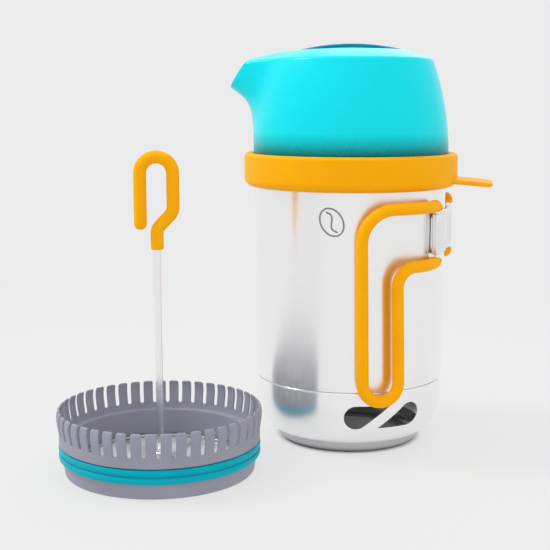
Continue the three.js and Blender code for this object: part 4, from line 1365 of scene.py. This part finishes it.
# ---------------------------------------------------------------- plunger
@dataclass
class Filter:
    """The plunger's filter: frame with spring fingers, seal, woven mesh, clamp ring and hub."""

    stand: Stand
    frame_radius: float = 64.8 * MM
    lower_radius: float = 62.4 * MM
    foot_radius: float = 61.2 * MM
    bore: float = 57 * MM
    shelf: float = 22 * MM
    comb_root: float = 25 * MM
    comb_thickness: float = 1.5 * MM
    comb_crown: float = 0.9 * MM
    comb_belly: float = 5 * MM
    fingers: int = 45
    slot: float = 2.5 * MM
    finger_corner: float = 0.7 * MM
    seal_low: float = 9.9 * MM
    seal_high: float = 19.8 * MM
    seal_valley: float = 1.1 * MM
    seal_plump: float = 0.86
    gap: float = 0.3 * MM
    mesh_level: float = 4.3 * MM
    mesh_pitch: float = 1.25 * MM
    mesh_wire: float = 0.2 * MM
    ledge_top: float = 1.2 * MM
    spider_band: float = 4 * MM
    spokes: int = 6
    spoke_width: float = 4 * MM
    spoke_round: float = 0.18
    hub_radius: float = 9 * MM
    rod_bore: float = 2.8 * MM
    nut_across: float = 9 * MM
    nut_height: float = 5 * MM
    clamp_width: float = 4 * MM

    def __post_init__(self) -> None:
        """Takes the comb's height and reach from the frame's CAD node."""
        self.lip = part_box("filter_frame")[1].x - self.stand.axis.x
        self.comb_top = top_of("filter_frame")

    def build(self) -> None:
        """Builds the filter's pieces on the plunger's body."""
        axis = self.stand.axis
        plastic = FRAME_PLASTIC.material()
        wire = STEEL_WIRE.material()
        settle(self.frame_shape().piece("filter_frame_body", plastic, axis), "plunger",
               "frame_grey", "filter_frame")
        settle(self.comb_shape().piece("filter_comb", plastic, axis), "plunger", "frame_grey")
        settle(self.spider_shape().piece("filter_mesh_support", plastic, axis), "plunger",
               "frame_grey", "filter_spider")
        settle(self.seal_shape().piece("filter_seal_lips", SEAL_RUBBER.material(), axis), "plunger",
               "seal_teal", "filter_seal")
        settle(self.mesh_shape().piece("filter_woven_mesh", wire, axis, weld=1e-7), "plunger",
               "mesh_steel", "filter_mesh")
        satin = STEEL_FOOT.material()
        settle(self.clamp_shape().piece("filter_clamp_ring", satin, axis), "plunger",
               "steel_foot", "mesh_clamp_ring")
        settle(self.washer_shape().piece("filter_hub_washer", satin, axis), "plunger",
               "steel_foot", "hub_washer")
        settle(self.nut_shape().piece("filter_hub_nut", wire, axis, crease=20), "plunger",
               "steel_wire", "hub_nut")

    def frame_shape(self) -> Shape:
        """The frame's ring, with the ledge inside its foot that the mesh support lies on."""
        ledge = self.bore - 3 * MM
        shoulder = self.seal_high + self.gap
        soft = 0.5 * MM
        corners = [
            (self.foot_radius, 0.0), (self.lower_radius, self.seal_low - 0.2 * MM),
            (self.lower_radius, shoulder), (self.frame_radius, shoulder),
            (self.frame_radius, self.comb_root + 0.8 * MM),
            (self.frame_radius - self.comb_thickness, self.comb_root + 0.8 * MM),
            (self.frame_radius - self.comb_thickness - 0.6 * MM, self.shelf + 0.8 * MM),
            (self.bore + 2 * MM, self.shelf + 0.4 * MM), (self.bore + 1.4 * MM, self.shelf + 1.2 * MM),
            (self.bore, self.shelf + 1.2 * MM), (self.bore, self.ledge_top),
            (ledge, self.ledge_top), (ledge, 0.0),
        ]
        radii = [1.4 * MM, soft, soft, 0.6 * MM, 0.1 * MM, 0.1 * MM, soft, 0.3 * MM, soft, soft,
                 0.2 * MM, 0.2 * MM, soft]
        return turned(close_points(rounded(corners, radii), 4 * MM), 256)

    def spider_shape(self) -> Shape:
        """The support under the mesh: a band, six spokes and the hub, with soft edges."""
        outer = self.bore - self.gap
        inner = outer - self.spider_band
        band = flat_ring("filter_spider", inner, outer, 0.4 * MM, 192)
        hub = flat_ring("filter_spider", self.rod_bore, self.hub_radius, 0.4 * MM, 64)
        return band.join(hub, *(self.spoke(360 * (k + 0.25) / self.spokes, inner)
                                for k in range(self.spokes)))

    def spoke(self, degrees: float, inner: float) -> Shape:
        """One spoke under the mesh: wider at its root and round along its edges."""
        start = self.hub_radius - 1 * MM
        end = inner + 1 * MM
        low, high = foot_of("filter_spider"), top_of("filter_spider")
        ring = rounded([(-0.5, 0.0), (0.5, 0.0), (0.5, 1.0), (-0.5, 1.0)], [self.spoke_round] * 4,
                       steps=3)
        shape = Shape()
        rows = []
        for share in (k / 14 for k in range(15)):
            flare = 1 + 0.5 * smooth_step(share, 0.75, 1) + 0.35 * smooth_step(1 - share, 0.8, 1)
            wide = self.spoke_width * flare
            rows.append(shape.row(Vector((start + (end - start) * share, y * wide,
                                          low + z * (high - low))) for y, z in ring))
        return shape.skin(rows, is_capped=True).turned(degrees)

    def comb_at(self, height: float) -> float:
        """The comb's outer radius at a height: it bellies out and comes in again at its top."""
        belly = self.comb_top - self.comb_belly
        if height < belly:
            share = smooth_step(height, self.comb_root, belly)
            return self.frame_radius + (self.lip - self.frame_radius) * share
        share = (height - belly) / self.comb_belly
        return self.lip - self.comb_crown * share * share

    def comb_place(self, along: float, height: float, depth: float) -> Vector:
        """A place in a finger's sheet, from the arc length, the height and the depth."""
        radius = self.comb_at(height) - depth
        turn = along / self.frame_radius
        return Vector((radius * math.cos(turn), radius * math.sin(turn), height))

    def comb_shape(self) -> Shape:
        """The ring of spring fingers, with round slots between them."""
        half = math.pi / self.fingers * self.frame_radius
        edge = self.comb_thickness / 2
        slot = self.slot / 2 + edge
        low = self.comb_root - 1 * MM
        top = self.comb_top - edge
        floor = self.comb_root + 0.9 * MM
        quarter = ellipse((half, floor + slot), (slot, slot), 270, 180, 6)
        corner = ellipse((half - slot - self.finger_corner, top - self.finger_corner),
                         (self.finger_corner,) * 2, 0, 90, 6)
        right = [(half, low), *quarter, *corner]
        outline = [*right, *((-x, y) for x, y in reversed(right))]
        rise = top - floor
        flat = FlatSheet(outline, [], [half * k / 3 for k in (-2, -1, 0, 1, 2)],
                         [floor + rise * k / 9 for k in range(9)])
        cell = flat.bent(self.comb_place, self.comb_thickness,
                         lambda spot: abs(spot[0]) > half - 1e-6 or spot[1] < low + 1e-6,
                         lambda spot: abs(spot[0]) > half - 1e-6)
        shape = Shape()
        for k in range(self.fingers):
            shape.join(cell.turned(360 * k / self.fingers))
        return shape

    def seal_shape(self) -> Shape:
        """The seal's band with its two round lips and the groove between them."""
        bore = self.lower_radius + self.gap
        reach = self.lip - 1 * MM
        rib = (self.seal_high - self.seal_low) / 4
        middle = (self.seal_low + self.seal_high) / 2
        valley = bore + self.seal_valley
        lips = [*ellipse((valley, middle - rib), (reach - valley, rib * self.seal_plump), -88, 88, 16),
                *ellipse((valley, middle + rib), (reach - valley, rib * self.seal_plump), -88, 88, 16)]
        return turned([(bore, self.seal_low + 0.3 * MM), (bore + 0.4 * MM, self.seal_low), *lips,
                       (bore + 0.4 * MM, self.seal_high - 0.15 * MM),
                       (bore, self.seal_high - 0.4 * MM)], 256)

    def mesh_shape(self) -> Shape:
        """The woven wire cloth: two sets of wires that pass over and under each other."""
        reach = self.bore - 0.8 * MM
        count = int(reach / self.mesh_pitch)
        cloth = Shape()
        for way in (0, 1):
            for row in range(-count, count + 1):
                offset = row * self.mesh_pitch
                if abs(offset) < self.rod_bore:
                    spans = [(self.rod_bore + 1 * MM, reach), (-reach, -self.rod_bore - 1 * MM)]
                else:
                    half = math.sqrt(max(reach**2 - offset**2, 0))
                    spans = [(-half, half)]
                for start, end in spans:
                    if end - start < 2 * self.mesh_pitch:
                        continue
                    cloth.join(self.mesh_strand(way, row, offset, start, end))
        return cloth

    def mesh_strand(self, way: int, row: int, offset: float, start: float, end: float) -> Shape:
        """One wire of the cloth."""
        step = self.mesh_pitch / 2
        shape = Shape()
        rows = []
        for k in range(math.ceil(start / step), math.floor(end / step) + 1):
            lift = math.cos(math.pi * k / 2) * self.mesh_wire
            level = self.mesh_level + (lift if (row + way) % 2 else -lift)
            corners = []
            for turn in (math.tau * (i + 0.5) / 4 for i in range(4)):
                y = offset + self.mesh_wire * math.cos(turn)
                z = level + self.mesh_wire * math.sin(turn)
                corners.append(Vector((k * step, y, z) if way == 0 else (y, k * step, z)))
            rows.append(shape.row(corners))
        return shape.skin(rows, is_capped=True)

    def clamp_shape(self) -> Shape:
        """The flat ring that holds the cloth's edge down."""
        outer = self.bore - self.gap
        return flat_ring("mesh_clamp_ring", outer - self.clamp_width, outer, 0.5 * MM, 192)

    def washer_shape(self) -> Shape:
        """The hub's washer."""
        return flat_ring("hub_washer", self.rod_bore, self.hub_radius, 0.35 * MM, 96)

    def nut_shape(self) -> Shape:
        """The hexagon nut, with its corners turned off at both faces."""
        low = foot_of("hub_nut")
        high = low + self.nut_height
        flat = self.nut_across / 2
        corner = flat / math.cos(math.pi / 6)
        sides, levels = 144, 16
        shape = Shape()
        rows = []
        for level in (low + self.nut_height * k / levels for k in range(levels + 1)):
            turned_off = flat - 0.25 * MM + min(level - low, high - level) * 1.6
            places = []
            for spot in circle(1, 0, sides):
                across = math.atan2(spot.y, spot.x) % (math.pi / 3)
                across = min(across, math.pi / 3 - across)
                radius = min(flat / math.cos(across), corner - 0.12 * MM, turned_off)
                places.append(Vector((radius * spot.x, radius * spot.y, level)))
            rows.append(shape.row(places))
        bevel = 0.4 * MM
        for radius, level in ((self.rod_bore + bevel, high), (self.rod_bore, high - bevel),
                              (self.rod_bore, low + bevel), (self.rod_bore + bevel, low)):
            rows.append(shape.row(circle(radius, level, sides)))
        return shape.skin([*rows, rows[0]])


@dataclass
class PressRod:
    """The rod with its threaded end, bent into a hook at its top under a silicone sleeve."""

    stand: Stand
    turn: float = 9.0
    radius: float = 2.4 * MM
    foot: float = 1.6 * MM
    thread_top: float = 16 * MM
    thread_pitch: float = 0.8 * MM
    thread_depth: float = 0.3 * MM
    hook_top: float = 201.9 * MM
    leg_offset: float = 10.4 * MM
    tip: float = 156 * MM
    jog_high: float = 167.5 * MM
    jog_low: float = 156.5 * MM
    jog_bend: float = 8 * MM
    sleeve_radius: float = 4.1 * MM
    sleeve_low: float = 143.5 * MM
    sleeve_bore: float = 2.5 * MM
    sleeve_edge: float = 1.0 * MM
    sleeve_socket: float = 3 * MM
    bar_end: float = 0.5 * MM

    def build(self) -> None:
        """Builds the rod, its thread and the hook's sleeve on the rod's body."""
        axis = self.stand.axis
        wire = STEEL_WIRE.material()
        spine = Spine(Matrix.Rotation(math.radians(self.turn), 4, "Z") @ Vector((x, 0, z))
                      for x, z in self.route())
        inside = spine.length - self.sleeve_socket
        bar = swept(spine, bar_outline(spine, self.radius, self.thread_top - self.foot, inside,
                                       self.bar_end), 28)
        settle(bar.join(self.thread_shape()).piece("press_rod_bar", wire, axis, crease=60),
               "plunger_rod", "steel_wire", "press_rod")
        outline = bar_outline(spine, self.sleeve_radius, self.sleeve_low - self.foot, spine.length,
                              self.sleeve_edge, self.sleeve_bore, self.sleeve_socket)[:-3]
        tip = ellipse((spine.length - self.sleeve_radius, 0), (self.sleeve_radius,) * 2, 90, 0, 10)
        body = [spot for spot in outline if spot[0] < spine.length - self.sleeve_radius]
        sleeve = swept(spine, [*body, *tip[:-1], (spine.length, 0.0)], 36)
        settle(sleeve.piece("press_hook_sleeve", ORANGE.material(), axis), "plunger_rod",
               "silicone_orange", "press_hook_grip")

    def route(self) -> list[Point]:
        """The rod's middle line in the hook's own plane."""
        bend = self.leg_offset - 0.05 * MM
        corners = [(0.0, self.foot), (0.0, self.jog_low), (self.leg_offset, self.jog_high),
                   (self.leg_offset, self.hook_top), (-self.leg_offset, self.hook_top),
                   (-self.leg_offset, self.tip)]
        radii = [0, self.jog_bend, self.jog_bend, bend, bend, 0]
        return close_points(rounded(corners, radii, closed=False, steps=20), 2 * MM)

    def thread_shape(self) -> Shape:
        """The threaded end that screws through the hub and its nut."""
        sides, per_turn = 32, 8
        turns = (self.thread_top - self.foot + 0.5 * MM) / self.thread_pitch
        rows = int(turns * per_turn)
        shape = Shape()
        rings = []
        for k in range(rows + 1):
            level = self.foot + self.thread_pitch * k / per_turn
            fade = min(1.0, k / per_turn, (rows - k) / per_turn)
            places = []
            for i, spot in enumerate(circle(1, 0, sides)):
                phase = (k / per_turn - i / sides) % 1.0
                groove = self.thread_depth * abs(2 * phase - 1) * fade
                radius = self.radius - 0.05 * MM - groove
                places.append(Vector((radius * spot.x, radius * spot.y, level)))
            rings.append(shape.row(places))
        return shape.skin(rings, is_capped=True)


# ---------------------------------------------------------------- studio
@dataclass(frozen=True)
class Lamp:
    """A square soft light: its place, the length of its side and its power in watts."""

    name: str
    place: Triple
    size: float
    power: float


@dataclass
class Studio:
    """The pale floor, the soft lights, the surroundings and the camera."""

    pot: Stand
    floor_radius: float = 9.0
    plain_near: float = 0.8
    plain_from: float = 0.22
    plain_to: float = 0.75
    backdrop: Colour = (0.83, 0.83, 0.83)
    floor_tone: Colour = (0.74, 0.74, 0.74)
    surround: float = 0.92
    camera_turn: float = 9.0
    camera_back: float = 0.792
    camera_aside: float = 0.0525
    camera_height: float = 0.239
    camera_down: float = 8.93
    lens: float = 74.2
    dark_turn: float = -152.0
    dark_from: float = 0.66
    dark_to: float = 0.93
    dark_level: float = 0.8
    aim_height: float = 0.12
    lamps: tuple[Lamp, ...] = (
        Lamp("left_light", (-2.9, -0.2, 3.1), 0.9, 60.0),
        Lamp("top_light", (0.0, -0.6, 3.9), 3.0, 20.0),
        Lamp("back_light", (0.6, 3.4, 2.2), 2.4, 20.0),
    )

    def build(self) -> None:
        """Sets up everything round the object."""
        bpy.context.scene.view_settings.view_transform = "Standard"
        self.floor()
        self.surroundings()
        self.lights()
        self.camera()

    def floor(self) -> None:
        """A wide pale floor that shades into the backdrop's tone away from the object."""
        disc = turned([(0.0, 0.0), *((0.05 * 1.25**k, 0.0) for k in range(24)),
                       (self.floor_radius, 0.0), (self.floor_radius, -0.01), (0.0, -0.01)], 96)
        recipe = Recipe("floor_pale")
        place = recipe.place()
        cloud = recipe.grains(place, 0.4, 2.0)
        recipe.set(Base_Color=recipe.colours(cloud, [(0.3, shaded(self.floor_tone, 0.995)),
                                                     (0.7, self.floor_tone)]), Roughness=0.9,
                   Specular_IOR_Level=0.1)
        plain = recipe.add("ShaderNodeEmission", {"Color": self.backdrop, "Strength": 1.0})
        out = recipe.add("ShaderNodeVectorMath", {"Vector": place}, operation="LENGTH")
        share = recipe.add("ShaderNodeMapRange", {"Value": out.outputs["Value"],
                                                  "From Min": self.plain_from,
                                                  "From Max": self.plain_to,
                                                  "To Min": self.plain_near},
                           interpolation_type="SMOOTHSTEP").outputs[0]
        under = recipe.tree.nodes.new("ShaderNodeVectorMath")
        under.operation = "DISTANCE"
        recipe.feed(under.inputs[0], place)
        recipe.feed(under.inputs[1], (self.pot.axis.x, self.pot.axis.y, 0.0))
        foot = self.pot.radius("foot_ring")
        clear = recipe.add("ShaderNodeMapRange", {"Value": under.outputs["Value"],
                                                  "From Min": foot - 4 * MM,
                                                  "From Max": foot + 1 * MM})
        share = recipe.maths("MULTIPLY", share, clear.outputs[0])
        mixed = recipe.add("ShaderNodeMixShader", {"Fac": share})
        recipe.tree.links.new(recipe.shader.outputs[0], mixed.inputs[1])
        recipe.tree.links.new(plain.outputs[0], mixed.inputs[2])
        recipe.tree.links.new(mixed.outputs[0], recipe.tree.nodes["Material Output"].inputs[0])
        floor = disc.piece("floor", recipe.material, Vector((0, 0, 0)))
        floor.location.z = -0.0002
        log.info("%s is stage", floor.name)

    def surroundings(self) -> None:
        """A bright room with one darker side, and a plain backdrop behind the object."""
        world = bpy.data.worlds.new("bright_room")
        world.use_nodes = True
        tree = world.node_tree
        room = tree.nodes["Background"]
        room.inputs["Color"].default_value = (1.0, 1.0, 1.0, 1.0)
        place = tree.nodes.new("ShaderNodeTexCoord").outputs["Generated"]
        dot = tree.nodes.new("ShaderNodeVectorMath")
        dot.operation = "DOT_PRODUCT"
        turn = math.radians(self.dark_turn)
        dot.inputs[1].default_value = (math.cos(turn), math.sin(turn), 0.0)
        tree.links.new(place, dot.inputs[0])
        shade = tree.nodes.new("ShaderNodeMapRange")
        shade.interpolation_type = "SMOOTHSTEP"
        shade.inputs["From Min"].default_value = self.dark_from
        shade.inputs["From Max"].default_value = self.dark_to
        shade.inputs["To Min"].default_value = self.surround
        shade.inputs["To Max"].default_value = self.dark_level
        tree.links.new(dot.outputs["Value"], shade.inputs["Value"])
        tree.links.new(shade.outputs[0], room.inputs["Strength"])
        plain = tree.nodes.new("ShaderNodeBackground")
        plain.inputs["Color"].default_value = (*self.backdrop, 1.0)
        seen = tree.nodes.new("ShaderNodeLightPath").outputs["Is Camera Ray"]
        mixed = tree.nodes.new("ShaderNodeMixShader")
        tree.links.new(seen, mixed.inputs[0])
        tree.links.new(room.outputs[0], mixed.inputs[1])
        tree.links.new(plain.outputs[0], mixed.inputs[2])
        tree.links.new(mixed.outputs[0], tree.nodes["World Output"].inputs["Surface"])
        bpy.context.scene.world = world

    def lights(self) -> None:
        """Broad soft lights that face the object."""
        for lamp in self.lamps:
            data = bpy.data.lights.new(lamp.name, "AREA")
            data.size = lamp.size
            data.energy = lamp.power
            light = bpy.data.objects.new(lamp.name, data)
            light.location = lamp.place
            aim = Vector((0, 0, self.aim_height)) - Vector(lamp.place)
            light.rotation_euler = aim.to_track_quat("-Z", "Y").to_euler()
            bpy.context.scene.collection.objects.link(light)

    def camera(self) -> None:
        """The camera, in front and a little above, with the pot right of its middle."""
        data = bpy.data.cameras.new("camera")
        data.lens = self.lens
        made = bpy.data.objects.new("camera", data)
        turn = math.radians(self.camera_turn)
        ahead = Vector((-math.sin(turn), math.cos(turn), 0))
        right = Vector((math.cos(turn), math.sin(turn), 0))
        spot = self.pot.axis - ahead * self.camera_back - right * self.camera_aside
        made.location = (spot.x, spot.y, self.camera_height)
        made.rotation_euler = (math.radians(90 - self.camera_down), 0, turn)
        bpy.context.scene.collection.objects.link(made)
        bpy.context.scene.camera = made


def main() -> None:
    """Builds the studio, the kettle and the plunger."""
    logging.basicConfig(level=logging.INFO, format="%(message)s")
    pot = Stand.of("pot_shell")
    press = Stand.of("hub_washer")
    Studio(pot).build()
    CookingPot(pot).build()
    hinge = Hinge(pot)
    hinge.build()
    for side in Side:
        Handle(hinge, side).build()
    RimRing(pot).build()
    Lid(pot).build()
    Filter(press).build()
    PressRod(press).build()
    bpy.context.view_layer.update()


if __name__ == "__main__":
    main()
